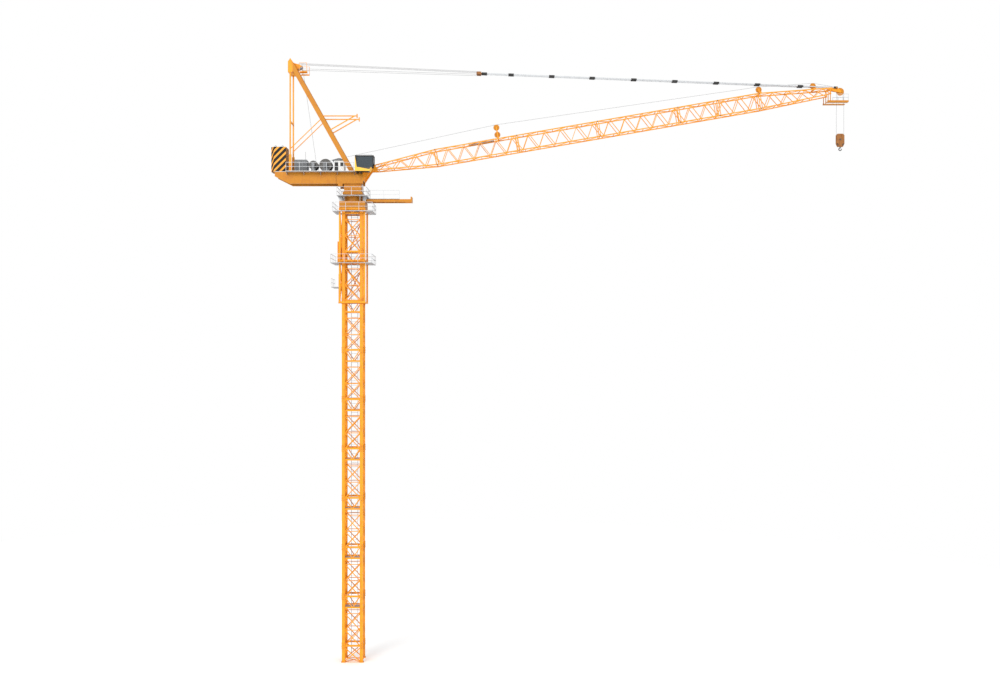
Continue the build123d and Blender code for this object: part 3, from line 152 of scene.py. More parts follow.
class CraneStage(bpy.types.PropertyGroup):
    """Camera, lamps and floor."""
    camera_place: bpy.props.FloatVectorProperty(
        name="Camera", description="Place of the camera", subtype="XYZ", unit="LENGTH",
        size=3, default=(8.975, -74.0, 19.15))
    lens: bpy.props.FloatProperty(
        name="Lens", description="Focal length", subtype="DISTANCE_CAMERA",
        min=10, max=200, default=43.45)
    sun_strength: bpy.props.FloatProperty(
        name="Sun", description="Strength of the key light", min=0, max=10, default=2.0)
    sky_strength: bpy.props.FloatProperty(
        name="Sky", description="Strength of the even light from all sides",
        min=0, max=3, default=0.85)
    floor_radius: bpy.props.FloatProperty(
        name="Floor", description="Radius of the floor that takes the shadow",
        unit="LENGTH", min=10, max=200, default=60.0)


def settings():
    """The three groups of settings on the scene."""
    scene = bpy.context.scene
    return scene.crane_colours, scene.crane_sizes, scene.crane_stage


def set_values(node, **values):
    """Set a shader node's properties and inputs by name, with underscores for spaces."""
    for key, value in values.items():
        if hasattr(node, key):
            setattr(node, key, value)
        else:
            node.inputs[key.replace("_", " ")].default_value = value


def add_node(tree, kind, **values):
    """A new shader node with its properties and inputs set by name."""
    node = tree.nodes.new(kind)
    set_values(node, **values)
    return node


def link(tree, source, output, target, entry):
    """Join one node's output to another node's input."""
    tree.links.new(source.outputs[output], target.inputs[entry])


def add_ramp(tree, low, low_colour, high, high_colour):
    """A colour ramp that runs from one colour and place to another."""
    ramp = add_node(tree, "ShaderNodeValToRGB")
    first, last = ramp.color_ramp.elements
    first.position, first.color = low, (*low_colour, 1.0)
    last.position, last.color = high, (*high_colour, 1.0)
    return ramp


def shade(a, b, share):
    """A colour part of the way from one to another."""
    return tuple((1 - share) * x + share * y for x, y in zip(a, b))


def darker(colour, share):
    """A colour part of the way to black."""
    return shade(colour, (0, 0, 0), share)


def new_material(name):
    """An empty material with a Principled shader, and its tree."""
    material = bpy.data.materials.new(name)
    material.use_nodes = True
    tree = material.node_tree
    return material, tree, tree.nodes["Principled BSDF"]


def painted(name, light, dark, roughness=0.42, grain=3.0, metallic=0.0):
    """Paint: two tones in soft patches, rain streaks down the faces, and a fine orange peel. The
    tone follows the product of two noises, one of them drawn out along z."""
    material, tree, shader = new_material(name)
    place = add_node(tree, "ShaderNodeTexCoord")
    patches = add_node(tree, "ShaderNodeTexNoise", Scale=grain, Detail=6.0, Roughness=0.62)
    drawn_out = add_node(tree, "ShaderNodeMapping", Scale=(5.0, 5.0, 1.1))
    streaks = add_node(tree, "ShaderNodeTexNoise", Scale=2.2, Detail=4.0, Roughness=0.6)
    mixer = add_node(tree, "ShaderNodeMath", operation="MULTIPLY")
    ramp = add_ramp(tree, 0.09, dark, 0.27, light)
    link(tree, place, "Object", patches, "Vector")
    link(tree, place, "Object", drawn_out, "Vector")
    link(tree, drawn_out, "Vector", streaks, "Vector")
    link(tree, patches, "Fac", mixer, 0)
    link(tree, streaks, "Fac", mixer, 1)
    link(tree, mixer, "Value", ramp, "Fac")
    link(tree, ramp, "Color", shader, "Base Color")
    rough = add_node(tree, "ShaderNodeMapRange", To_Min=roughness - 0.08, To_Max=roughness + 0.14)
    link(tree, streaks, "Fac", rough, "Value")
    link(tree, rough, "Result", shader, "Roughness")
    peel = add_node(tree, "ShaderNodeTexNoise", Scale=90.0, Detail=3.0)
    relief = add_node(tree, "ShaderNodeBump", Strength=0.25, Distance=0.002)
    link(tree, place, "Object", peel, "Vector")
    link(tree, peel, "Fac", relief, "Height")
    link(tree, relief, "Normal", shader, "Normal")
    set_values(shader, Metallic=metallic, Specular_IOR_Level=0.3)
    return material


def striped(name, light, dark, width, dark_share=0.6):
    """Hazard stripes: slanting bands of two colours, by the fraction of the distance along a
    diagonal."""
    material, tree, shader = new_material(name)
    place = add_node(tree, "ShaderNodeTexCoord")
    split = add_node(tree, "ShaderNodeSeparateXYZ")
    across = add_node(tree, "ShaderNodeMath", operation="SUBTRACT")
    slant = add_node(tree, "ShaderNodeMath", operation="ADD")
    scaled = add_node(tree, "ShaderNodeMath", operation="MULTIPLY")
    scaled.inputs[1].default_value = 0.5 / width / math.sqrt(2)
    band = add_node(tree, "ShaderNodeMath", operation="FRACT")
    step = add_node(tree, "ShaderNodeMath", operation="GREATER_THAN")
    step.inputs[1].default_value = 1 - dark_share
    mix = add_node(tree, "ShaderNodeMix", data_type="RGBA", A=(*light, 1.0), B=(*dark, 1.0))
    grime = add_node(tree, "ShaderNodeTexNoise", Scale=5.0, Detail=5.0)
    rough = add_node(tree, "ShaderNodeMapRange", To_Min=0.4, To_Max=0.7)
    link(tree, place, "Object", split, "Vector")
    link(tree, split, "Y", across, 0)
    link(tree, split, "X", across, 1)
    link(tree, across, "Value", slant, 0)
    link(tree, split, "Z", slant, 1)
    link(tree, slant, "Value", scaled, 0)
    link(tree, scaled, "Value", band, 0)
    link(tree, band, "Value", step, 0)
    link(tree, step, "Value", mix, "Factor")
    link(tree, mix, "Result", shader, "Base Color")
    link(tree, place, "Object", grime, "Vector")
    link(tree, grime, "Fac", rough, "Value")
    link(tree, rough, "Result", shader, "Roughness")
    set_values(shader, Specular_IOR_Level=0.15)
    return material


# Blender's wave texture shows one band in pi / 10 units of its scaled coordinate.
WAVE_BAND = 0.314


def grated(name, colour, pitch=0.035):
    """Open steel grating: bright bars, dark squares of painted shade between, from two crossed waves.
    """
    material, tree, shader = new_material(name)
    place = add_node(tree, "ShaderNodeTexCoord")
    cross = add_node(tree, "ShaderNodeMath", operation="MAXIMUM")
    for entry, direction in enumerate(("X", "Y")):
        wave = add_node(tree, "ShaderNodeTexWave", bands_direction=direction,
                        Scale=WAVE_BAND / pitch)
        link(tree, place, "Object", wave, "Vector")
        link(tree, wave, "Fac", cross, entry)
    # The ramp's dark end is painted shade in the gaps between the bars.
    ramp = add_ramp(tree, 0.45, darker(colour, 0.75), 0.7, colour)
    link(tree, cross, "Value", ramp, "Fac")
    link(tree, ramp, "Color", shader, "Base Color")
    relief = add_node(tree, "ShaderNodeBump", Strength=0.5, Distance=0.006)
    link(tree, cross, "Value", relief, "Height")
    link(tree, relief, "Normal", shader, "Normal")
    set_values(shader, Metallic=0.4, Roughness=0.5)
    return material


def laid_rope(name, colour, strand=0.02):
    """Wire rope: its strands as bands of painted shade and painted highlight on a diagonal of space.
    """
    material, tree, shader = new_material(name)
    place = add_node(tree, "ShaderNodeTexCoord")
    wave = add_node(tree, "ShaderNodeTexWave", bands_direction="DIAGONAL", Scale=WAVE_BAND / strand,
                    Distortion=0.4)
    # Dark bands: painted shade in the grooves between strands; bright bands: painted highlight on the
    # strands' crowns.
    ramp = add_ramp(tree, 0.0, darker(colour, 0.5), 1.0, shade(colour, (1, 1, 1), 0.12))
    relief = add_node(tree, "ShaderNodeBump", Strength=0.8, Distance=0.002)
    link(tree, place, "Object", wave, "Vector")
    link(tree, wave, "Fac", ramp, "Fac")
    link(tree, ramp, "Color", shader, "Base Color")
    link(tree, wave, "Fac", relief, "Height")
    link(tree, relief, "Normal", shader, "Normal")
    set_values(shader, Metallic=0.6, Roughness=0.45)
    return material


def tinted_glass(name, colour):
    """Dark cab glass: a smooth coat with faint dust in patches."""
    material, tree, shader = new_material(name)
    place = add_node(tree, "ShaderNodeTexCoord")
    dust = add_node(tree, "ShaderNodeTexNoise", Scale=4.0, Detail=5.0)
    rough = add_node(tree, "ShaderNodeMapRange", To_Min=0.03, To_Max=0.14)
    link(tree, place, "Object", dust, "Vector")
    link(tree, dust, "Fac", rough, "Value")
    link(tree, rough, "Result", shader, "Roughness")
    set_values(shader, Base_Color=(*colour, 1.0), Metallic=0.0, Specular_IOR_Level=0.9, Alpha=0.8)
    return material


materials = {}


def make_materials():
    """Every finish of the crane, by its name."""
    colours, sizes, _ = settings()
    tint = {key: tuple(getattr(colours, key)) for key in CraneColours.__annotations__}
    orange, weathered = tint["orange"], tint["orange_dark"]
    zinc, grey, black = tint["zinc"], tint["grey"], tint["black"]
    materials.update({
        "orange": painted("crane_orange", orange, weathered),
        "orange_deep": painted("girder_orange", darker(orange, 0.38), darker(weathered, 0.3),
                               grain=1.6),
        "orange_fine": painted("jib_orange", orange, weathered, grain=6.0),
        "yellow": painted("cab_yellow", tint["yellow"], darker(tint["yellow"], 0.25)),
        "zinc": painted("zinc", zinc, darker(zinc, 0.3), roughness=0.48, grain=12.0, metallic=0.55),
        "grating": grated("grating", zinc),
        "grey": painted("machinery_grey", grey, darker(grey, 0.45), grain=5.0),
        "pale": painted("house_white", tint["pale"], shade(tint["pale"], (0.3, 0.2, 0.1), 0.2)),
        "black": painted("black_steel", black, shade(black, (1, 1, 1), 0.04), roughness=0.5),
        "dark_steel": painted("greased_steel", (0.10, 0.095, 0.09), (0.04, 0.035, 0.03),
                              metallic=0.5, grain=14.0),
        "stripes": striped("hazard_stripes", tint["stripe"], black, sizes.stripe_width),
        "rope": laid_rope("wire_rope", tint["rope"]),
        # Hook block: orange paint darkened to brown by painted shade, in random patches of two tones.
        "block": painted("hook_block_paint", tint["block"], (0.16, 0.05, 0.01), grain=8.0),
        "glass": tinted_glass("cab_glass_tint", tint["glass"]),
    })


def outward_box(centres, half_x, half_y, half_z):
    """Corners and faces of many boxes: each centre plus or minus three half-edge vectors."""
    signs = np.array([[-1, -1, -1], [1, -1, -1], [1, 1, -1], [-1, 1, -1],
                      [-1, -1, 1], [1, -1, 1], [1, 1, 1], [-1, 1, 1]], float)
    edges = np.stack([half_x, half_y, half_z], axis=1)
    corners = centres[:, None, :] + np.einsum("ks,nsd->nkd", signs, edges)
    quads = np.array([[0, 3, 2, 1], [4, 5, 6, 7], [0, 1, 5, 4],
                      [2, 3, 7, 6], [1, 2, 6, 5], [3, 0, 4, 7]])
    faces = (np.arange(len(centres))[:, None, None] * 8 + quads).reshape(-1, 4)
    return corners.reshape(-1, 3), faces


FINISH_SLOT = {
    "zinc": "galvanised", "dark_steel": "dark_steel", "black": "dark_steel", "grey": "machine_grey",
    "rope": "wire_rope", "block": "block_paint", "orange_deep": "orange_paint", "glass": "glass",
}


def make_piece(name, points, faces, finish, body, slot=None):
    """A mesh object from arrays, with its finish, riding on one body. The slot argument is not used."""
    slot = slot or FINISH_SLOT[finish]
    mesh = bpy.data.meshes.new(name)
    mesh.from_pydata(np.asarray(points).tolist(), [], [list(face) for face in faces])
    mesh.update()
    piece = bpy.data.objects.new(name, mesh)
    bpy.context.scene.collection.objects.link(piece)
    mesh.materials.append(materials[finish])
    if body:
        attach(piece, body)
    return piece


def frames_along(starts, ends):
    """Each bar's run and two unit vectors square to it: the run crossed with z, or with x for a
    steep bar, and that crossed with the run."""
    runs = ends - starts
    along = runs / np.linalg.norm(runs, axis=1)[:, None]
    guide = np.where(np.abs(along[:, 2:]) > 0.9, (1.0, 0.0, 0.0), (0.0, 0.0, 1.0))
    side = np.cross(along, guide)
    side /= np.linalg.norm(side, axis=1)[:, None]
    return runs, side, np.cross(side, along)


def flat_bars(name, starts, ends, width, depth, finish, body):
    """Square-edged bars: a rectangle of width and depth carried from each start to each end."""
    starts, ends = np.atleast_2d(starts).astype(float), np.atleast_2d(ends).astype(float)
    runs, side, lift = frames_along(starts, ends)
    points, faces = outward_box((starts + ends) / 2, runs / 2, -side * width / 2, lift * depth / 2)
    return make_piece(name, points, faces, finish, body)


def round_bars(name, starts, ends, radius, finish, body, sides=8):
    """Round bars: a circle of points at each end, joined by quads and closed by flat caps."""
    starts, ends = np.atleast_2d(starts).astype(float), np.atleast_2d(ends).astype(float)
    _, side, lift = frames_along(starts, ends)
    turn = np.arange(sides) * 2 * math.pi / sides
    cosine, sine = np.cos(turn)[:, None], np.sin(turn)[:, None]
    ring = radius * (cosine * side[:, None, :] + sine * lift[:, None, :])
    points = np.stack([starts[:, None, :] + ring, ends[:, None, :] + ring], axis=1).reshape(-1, 3)
    around = np.arange(sides)
    ahead = (around + 1) % sides
    quads = np.stack([around, around + sides, ahead + sides, ahead], axis=1)
    first = np.arange(len(starts)) * 2 * sides
    walls = (first[:, None, None] + quads).reshape(-1, 4).tolist()
    caps = [(base + around).tolist() for base in first]
    caps += [(base + sides + around[::-1]).tolist() for base in first]
    return make_piece(name, points, walls + caps, finish, body)


NODE_FINISH = {
    "orange": ("foundation_frame", "mast_legs", "mast_front_and_back_lattice",
               "mast_left_and_right_lattice", "climbing_frame_posts", "climbing_frame_bars",
               "hydraulic_unit", "a_frame_ties", "a_frame_braces", "a_frame_head",
               "a_frame_platform", "backstops", "jib_foot_bracket"),
    "orange_deep": ("crane_seat", "lower_slewing_ring", "introduction_beam", "turret",
                    "main_girders", "a_frame_legs", "upper_guide_sheave", "lower_guide_sheave",
                    "tip_guide_sheave", "head_guide_sheave", "head_sheave", "jib_head_platform"),
    "orange_fine": ("jib_side_trusses", "jib_top_lacing", "jib_bottom_lacing", "jib_head",
                    "guide_stands"),
    "zinc": ("tower_railings", "deck_railings", "mast_ladder", "luffing_sheaves",
             "slewing_platform", "pendant_bars"),
    "grating": ("mast_landings", "climbing_platforms", "introduction_walkway", "deck",
                "side_walkways", "jib_walkway"),
    "grey": ("machinery_cabinets", "winch_frames"),
    "dark_steel": ("luffing_drum", "hoist_drum", "hook_sheave"),
    "black": ("cab_frame", "pendant_links", "hook"),
    "stripes": ("counterweight_slabs",),
    "block": ("hook_block", "pendant_block"),
    "rope": ("luffing_lead", "jib_rope", "luffing_ropes", "hoist_lead", "hoist_falls"),
    "glass": ("cab_glass",),
}

# Levels in metres above the ground: the cab's floor, the top of its sill, the top of its rear post,
# and the machine house's eaves. Then the front of that post and the rear of the house along x.
CAB_FLOOR, CAB_SILL, CAB_POST_TOP, HOUSE_EAVES = 29.79, 30.011, 30.64, 30.549
CAB_POST_FRONT, HOUSE_REAR = 0.297, -1.2


def finish_nodes():
    """Give every carried-over node its procedural finish."""
    for finish, names in NODE_FINISH.items():
        for name in names:
            mesh = frame["nodes"][name].data
            mesh.materials.clear()
            mesh.materials.append(materials[finish])


def paint_by_place():
    """Cab post and sill in yellow, and house walls in white under a grey roof: faces take their
    finish from where their centres lie."""
    rules = (
        ("cab_frame", "yellow", lambda c: (c[:, 2] > CAB_FLOOR) & (
            (c[:, 0] < CAB_POST_FRONT) & (c[:, 2] < CAB_POST_TOP) | (c[:, 2] < CAB_SILL))),
        ("machinery_cabinets", "pale", lambda c: (c[:, 0] > HOUSE_REAR) & (c[:, 2] < HOUSE_EAVES)),
    )
    for name, finish, inside in rules:
        mesh = frame["nodes"][name].data
        centres = np.empty(len(mesh.polygons) * 3)
        mesh.polygons.foreach_get("center", centres)
        index = np.zeros(len(mesh.polygons), np.int32)
        index[inside(centres.reshape(-1, 3))] = len(mesh.materials)
        mesh.materials.append(materials[finish])
        mesh.polygons.foreach_set("material_index", index)


# Points along a straight rope, along a fall that stretches, and round one turn of a winding
ROPE_STEPS, FALL_STEPS, STEPS_PER_TURN = 24, 40, 28
FLANGE_ROOM = 0.045  # from a drum's end to the outermost turn of its rope


def swept(name, paths, radius, finish, body, sides=8):
    """Round rope along paths of equally many points: each ring lies square to its path,
    spanned by the y axis and by the path's run crossed with it."""
    paths = np.array(paths, float)
    count, steps = paths.shape[:2]
    run = np.gradient(paths, axis=1)
    side = np.broadcast_to(np.array([0.0, 1.0, 0.0]), run.shape)
    lift = np.cross(run, side)
    lift /= np.linalg.norm(lift, axis=2)[:, :, None]
    turn = np.arange(sides) * 2 * math.pi / sides
    points = paths[:, :, None, :] + radius * (np.cos(turn)[:, None] * side[:, :, None, :]
                                              + np.sin(turn)[:, None] * lift[:, :, None, :])
    rows, around = np.meshgrid(np.arange(steps - 1), np.arange(sides), indexing="ij")
    ahead = (around + 1) % sides
    quads = np.stack([rows * sides + around, (rows + 1) * sides + around,
                      (rows + 1) * sides + ahead, rows * sides + ahead], axis=2).reshape(-1, 4)
    first = np.arange(count) * steps * sides
    faces = (first[:, None, None] + quads).reshape(-1, 4).tolist()
    faces += [(base + np.arange(sides)).tolist() for base in first]
    faces += [(base + (steps - 1) * sides + np.arange(sides)[::-1]).tolist() for base in first]
    piece = make_piece(name, points.reshape(-1, 3), faces, finish, body)
    piece.data.polygons.foreach_set("use_smooth", np.ones(len(piece.data.polygons), bool))
    return piece


def wheel(name):
    """Centre and rim radius of a round node that turns about y."""
    low, high = node_box(name)
    return (low + high) / 2, (high[2] - low[2]) / 2


def tangents(a, radius_a, b, radius_b, side):
    """Where a straight rope leaves one wheel and meets the next, on the same side of both."""
    run = (b - a) * (1, 0, 1)
    length = np.linalg.norm(run)
    forward = run / length
    lean = (radius_a - radius_b) / length
    across = np.array([-forward[2], 0, forward[0]]) * side
    normal = forward * lean + across * math.sqrt(1 - lean * lean)
    return a + normal * radius_a, b + normal * radius_b


def arc(centre, start, end, way, y, steps=24):
    """Points from start to end round a centre in the xz plane: way is 1 from x towards z, and -1
    the other way."""
    first = math.atan2(start[2] - centre[2], start[0] - centre[0])
    last = math.atan2(end[2] - centre[2], end[0] - centre[0])
    angle = first + np.linspace(0, 1, steps) * ((last - first) * way % (2 * math.pi) * way)
    reach = math.hypot(start[0] - centre[0], start[2] - centre[2])
    return np.stack([centre[0] + reach * np.cos(angle), np.full(steps, y),
                     centre[2] + reach * np.sin(angle)], axis=1)


def stretch(start, end, y, steps):
    """Equally spaced points on a straight line in one plane of constant y."""
    share = np.linspace(0, 1, steps)[:, None]
    line = start + (end - start) * share
    line[:, 1] = y
    return line


def helix(centre, radius, low, high, turns, per_turn):
    """Rope laid on a drum: the angle grows evenly as the rope moves along y."""
    share = np.linspace(0, 1, turns * per_turn)
    angle = share * turns * 2 * math.pi
    return np.stack([centre[0] + radius * np.cos(angle), low + (high - low) * share,
                     centre[2] + radius * np.sin(angle)], axis=1)


def make_luffing_ropes():
    """Five parts of rope between the A-frame's sheaves and the travelling block, that shorten as
    the jib rises, with the bights round the wheels."""
    _, sizes, _ = settings()
    radius = sizes.rope_radius
    sheave, rim = wheel("luffing_sheaves")
    low, high = node_box("pendant_block")
    small = (high[2] - low[2]) / 2
    block = np.array([low[0] + small, 0, (low[2] + high[2]) / 2])
    rope_low, rope_high = node_box("luffing_ropes")
    lanes = (rope_low[1] + radius, 0.0, rope_high[1] - radius)
    rim, small = rim - radius, small - radius
    top = tangents(sheave, rim, block, small, 1)
    bottom = tangents(sheave, rim, block, small, -1)
    paths = [stretch(*top, y, ROPE_STEPS) for y in lanes]
    paths += [stretch(*bottom, y, ROPE_STEPS) for y in lanes[::2]]
    ropes = swept("luffing_rope_parts", paths, radius, "rope", "luffing_ropes")
    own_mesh(ropes)
    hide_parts("luffing_ropes")
    rear = [arc(sheave, top[0], bottom[0], 1, y) for y in lanes[::2]]
    front = [arc(block, top[1], bottom[1], -1, y) for y in lanes]
    swept("luffing_rope_rear_bights", rear, radius, "rope", "upper")
    swept("luffing_rope_block_bights", front, radius, "rope", "pendant")


def make_hoist_ropes():
    """The hoist rope's stretch from the drum to the jib, its two falls, and its bight round the
    hook block's sheave."""
    _, sizes, _ = settings()
    radius = sizes.rope_radius
    drum = hoist_drum_axle * (1, 0, 1)
    guide, rim = wheel("upper_guide_sheave")
    start, end = tangents(drum, sizes.hoist_barrel + radius, guide, rim - radius, 1)
    line = stretch(start, end, 0, ROPE_STEPS)
    lead = swept("hoist_rope_lead", [line], radius, "rope", "hoist_lead")
    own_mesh(lead)
    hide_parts("hoist_lead")
    low, high = node_box("hoist_falls")
    feet = np.array([(low[0] + radius, 0, low[2]), (high[0] - radius, 0, low[2])])
    rise = (0, 0, high[2] - low[2])
    lines = [stretch(foot + rise, foot, 0, FALL_STEPS) for foot in feet]
    falls = swept("hoist_rope_falls", lines, radius, "rope", None)
    centre = feet.mean(axis=0)
    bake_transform(falls)
    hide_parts("hoist_falls")
    swept("hook_rope_bight", [arc(centre, *feet, 1, 0)], radius, "rope", "hook_block")


def make_windings():
    """Rope laid turn by turn on both drums, between the flanges."""
    _, sizes, _ = settings()
    radius = sizes.rope_radius
    barrels = {"hoist_drum": sizes.hoist_barrel, "luffing_drum": sizes.luffing_barrel}
    for drum, barrel in barrels.items():
        axle, _ = wheel(drum)
        low, _ = node_box(drum)
        half = -low[1] - FLANGE_ROOM
        coil = helix(axle, barrel + radius, -half, half, sizes.winding_turns, STEPS_PER_TURN)
        swept(f"{drum}_windings", [coil], radius, "rope", drum, sides=6)


# The near side is the one that the camera sees, at negative y.
SIDES = (("near", -1), ("far", 1))

# Places on the solids that no node's box gives, in metres in the row frame
LADDER_Y = (-0.46, -0.12)  # stiles of the turret's ladder
LADDER_BRACKET_X = 0.52
TURRET_LEDGE = 28.62  # top of the turret's flange
TURRET_ROW, TURRET_EDGE = 0.5, 0.56  # half length of its rows of bolts, and their distance
MAST_LEG = 0.55  # from the mast's middle to the middle of a corner leg, along x and y
MAST_BASE, MAST_SECTION, MAST_SECTIONS = 1.0, 3.0, 9
SPLICE_ROWS = (-0.15, -0.05, 0.05, 0.15)  # bolts above and below a joint of the mast
ANCHOR = 0.11  # from a leg's middle to an anchor bolt, along x and y
GIRDER_SPLICE_X, SPLICE_BOLTS = -0.99, 9  # place of the girders' joint, and bolts on each side
JIB_ANGLE = math.radians(9.84)  # at rest, above level
JIB_POSTS = (4.075, 9.12, 14.13, 19.10, 21.55, 24.12)  # double posts, along the jib from its pivot
CHORD_HALF = 0.46  # from the jib's axis to the middle of a chord
EYE_Y = 0.56  # outer face of the jib foot's eyes
CABINET_DOORS = (("wide", -3.49, -3.10), ("slim", -2.985, -2.825))  # with their rear and front
HANDLES_X, AERIAL = (-3.14, -2.85), (-2.90, -0.30)
HOUSE_X, HOUSE_WALL = -0.845, -0.40  # middle along x, and the near wall along y
HOUSE_WINDOW_X, HOUSE_DOOR_X = -0.67, -1.0
CAB_SEAT = (0.62, -1.03, 29.84)  # foot of the seat's post
CAB_FAR_PANE = -0.68
LOW_WINDOW = ((0.42, 30.012), (1.12, 29.885), (1.20, 30.012))  # corners of a low window, x and z
SLAB_MIDDLES = (-0.375, 0.0, 0.375)
HEAD_DECK = 34.13  # top of the grating at the jib's head
RAIL = 0.018  # width of a railing's bars


def bolts(name, places, outward, radius, height, finish, body):
    """Hexagon heads that stand on a face: one at each place, along its outward direction."""
    places = np.array(places, float)
    outward = np.broadcast_to(np.array(outward, float), (len(places), 3))
    return round_bars(name, places, places + outward * height, radius, finish, body, sides=6)


def column(x, y, levels):
    """Points above each other at every level."""
    return np.stack([np.full(len(levels), x), np.full(len(levels), y), levels], axis=1)


def boxes(name, parts, finish, body, slot=None):
    """One piece of boxes, each given by its centre and its half-edges along x, y and z. A half-edge
    that is a number lies along its own axis, and one that is a vector leans."""
    centres, *edges = zip(*parts)
    edges = [np.array([half if np.ndim(half) else unit * half for half in halves], float)
             for unit, halves in zip(np.eye(3), edges)]
    points, faces = outward_box(np.array(centres, float), *edges)
    return make_piece(name, points, faces, finish, body, slot)


def prism(name, section, y_low, y_high, finish, body):
    """A three-sided prism: the corners of a section in the xz plane, in order from x towards z, at
    both ends along y."""
    x, z = np.tile(np.transpose(section), 2)
    points = np.stack([x, np.repeat((y_low, y_high), 3), z], axis=1)
    faces = [(0, 1, 2), (5, 4, 3), (0, 3, 4, 1), (1, 4, 5, 2), (2, 5, 3, 0)]
    return make_piece(name, points, faces, finish, body)


def make_ladders():
    """Rungs of the mast's ladder, at twice the pitch of the short ladder on the turret's front, and
    that ladder's stiles and brackets."""
    _, sizes, _ = settings()
    pitch, radius = sizes.rung_pitch, sizes.rung_radius
    low, high = node_box("mast_ladder")
    inset = 0.02  # from the ladder's edge to a rung's end
    levels = np.arange(low[2] + 2 * pitch, high[2] - pitch, 2 * pitch)
    rungs = column(low[0] + inset, (low[1] + high[1]) / 2, levels)
    run = (high[0] - low[0] - 2 * inset, 0, 0)
    round_bars("mast_rungs", rungs, rungs + run, radius, "zinc", "root")
    low, high = node_box("turret")
    front, (near, far) = high[0] + radius, LADDER_Y
    foot, height, stile = low[2] + 0.32, 0.62, 0.022
    rungs = column(front, near, np.arange(foot + 0.04, high[2], pitch))
    round_bars("turret_rungs", rungs, rungs + (0, far - near, 0), radius, "zinc", "upper")
    stiles = np.array([(front, y, foot) for y in LADDER_Y])
    flat_bars("turret_stiles", stiles, stiles + (0, 0, height), stile, stile, "zinc", "upper")
    levels = (TURRET_LEDGE + 0.1, TURRET_LEDGE + 0.4)
    feet = np.array([(LADDER_BRACKET_X, y, z) for y in LADDER_Y for z in levels])
    tips = feet * (0, 1, 1) + (front, 0, 0)
    flat_bars("turret_ladder_brackets", feet, tips, 0.03, 0.012, "zinc", "upper")


def make_mast_bolts():
    """Bolts of the splice plates on the mast's corners, and anchor bolts on the foot plates."""
    _, sizes, _ = settings()
    low, high = node_box("mast_legs")
    reach = high[0]
    splices = MAST_BASE + MAST_SECTION * np.arange(MAST_SECTIONS)
    z = np.add.outer(splices, SPLICE_ROWS).ravel()
    places, outward = [], []
    for _, sign in SIDES:
        for corner in (-MAST_LEG, MAST_LEG):
            places += [column(sign * reach, corner, z), column(corner, sign * reach, z)]
            outward += [np.tile((sign, 0, 0), (len(z), 1)), np.tile((0, sign, 0), (len(z), 1))]
    bolts("mast_splice_bolts", np.concatenate(places), np.concatenate(outward),
          sizes.bolt_radius * 1.4, 0.014, "dark_steel", "root")
    spots = [leg + offset for leg in (-MAST_LEG, MAST_LEG) for offset in (-ANCHOR, ANCHOR)]
    corners = [(x, y, low[2]) for x in spots for y in spots]
    bolts("anchor_nuts", corners, (0, 0, 1), sizes.bolt_radius, 0.02, "dark_steel", "root")
    bolts("anchor_threads", corners, (0, 0, 1), sizes.bolt_radius * 0.5, 0.045, "zinc", "root")


def make_turret_bolts():
    """A row of bolts on each ledge of the turret's flange, and on the girders' splices."""
    _, sizes, _ = settings()
    row = np.linspace(-TURRET_ROW, TURRET_ROW, sizes.ring_bolts // 4)
    places = [(x, y, TURRET_LEDGE) for x in row for y in (-TURRET_EDGE, TURRET_EDGE)]
    places += [(x, y, TURRET_LEDGE) for x in (-TURRET_EDGE, TURRET_EDGE) for y in row]
    bolts("turret_bolts", places, (0, 0, 1), sizes.bolt_radius, 0.018, "dark_steel", "upper")
    low, high = node_box("main_girders")
    levels = np.linspace(low[2] + 0.23, high[2] - 0.08, SPLICE_BOLTS)
    for (label, sign), face in zip(SIDES, (low[1], high[1])):
        places = column(GIRDER_SPLICE_X, face, levels)
        bolts(f"splice_bolts_{label}", places, (0, sign, 0), 0.012, 0.01, "dark_steel", "upper")


def jib_point(u, v, y):
    """A place on the jib from its distance along the jib and square to it."""
    cosine, sine = math.cos(JIB_ANGLE), math.sin(JIB_ANGLE)
    return jib_pivot[0] + u * cosine - v * sine, y, jib_pivot[2] + u * sine + v * cosine


def make_jib_pins():
    """Pins through the chords at the jib's double posts, where its sections are joined, and pins at
    its foot."""
    low, high = node_box("jib_side_trusses")
    for (label, sign), face in zip(SIDES, (low[1], high[1])):
        chords, radius, height = (-CHORD_HALF, CHORD_HALF), 0.032, 0.016
        pins = np.array([jib_point(u, v, face) for u in JIB_POSTS for v in chords])
        tips = pins + (0, sign * height, 0)
        round_bars(f"jib_pins_{label}", pins, tips, radius, "dark_steel", "jib", sides=14)
    for label, sign in SIDES:
        eye, radius, height = np.array([(jib_pivot[0], sign * EYE_Y, jib_pivot[2])]), 0.055, 0.03
        tip = eye + (0, sign * height, 0)
        round_bars(f"foot_pin_{label}", eye, tip, radius, "dark_steel", "upper", sides=20)


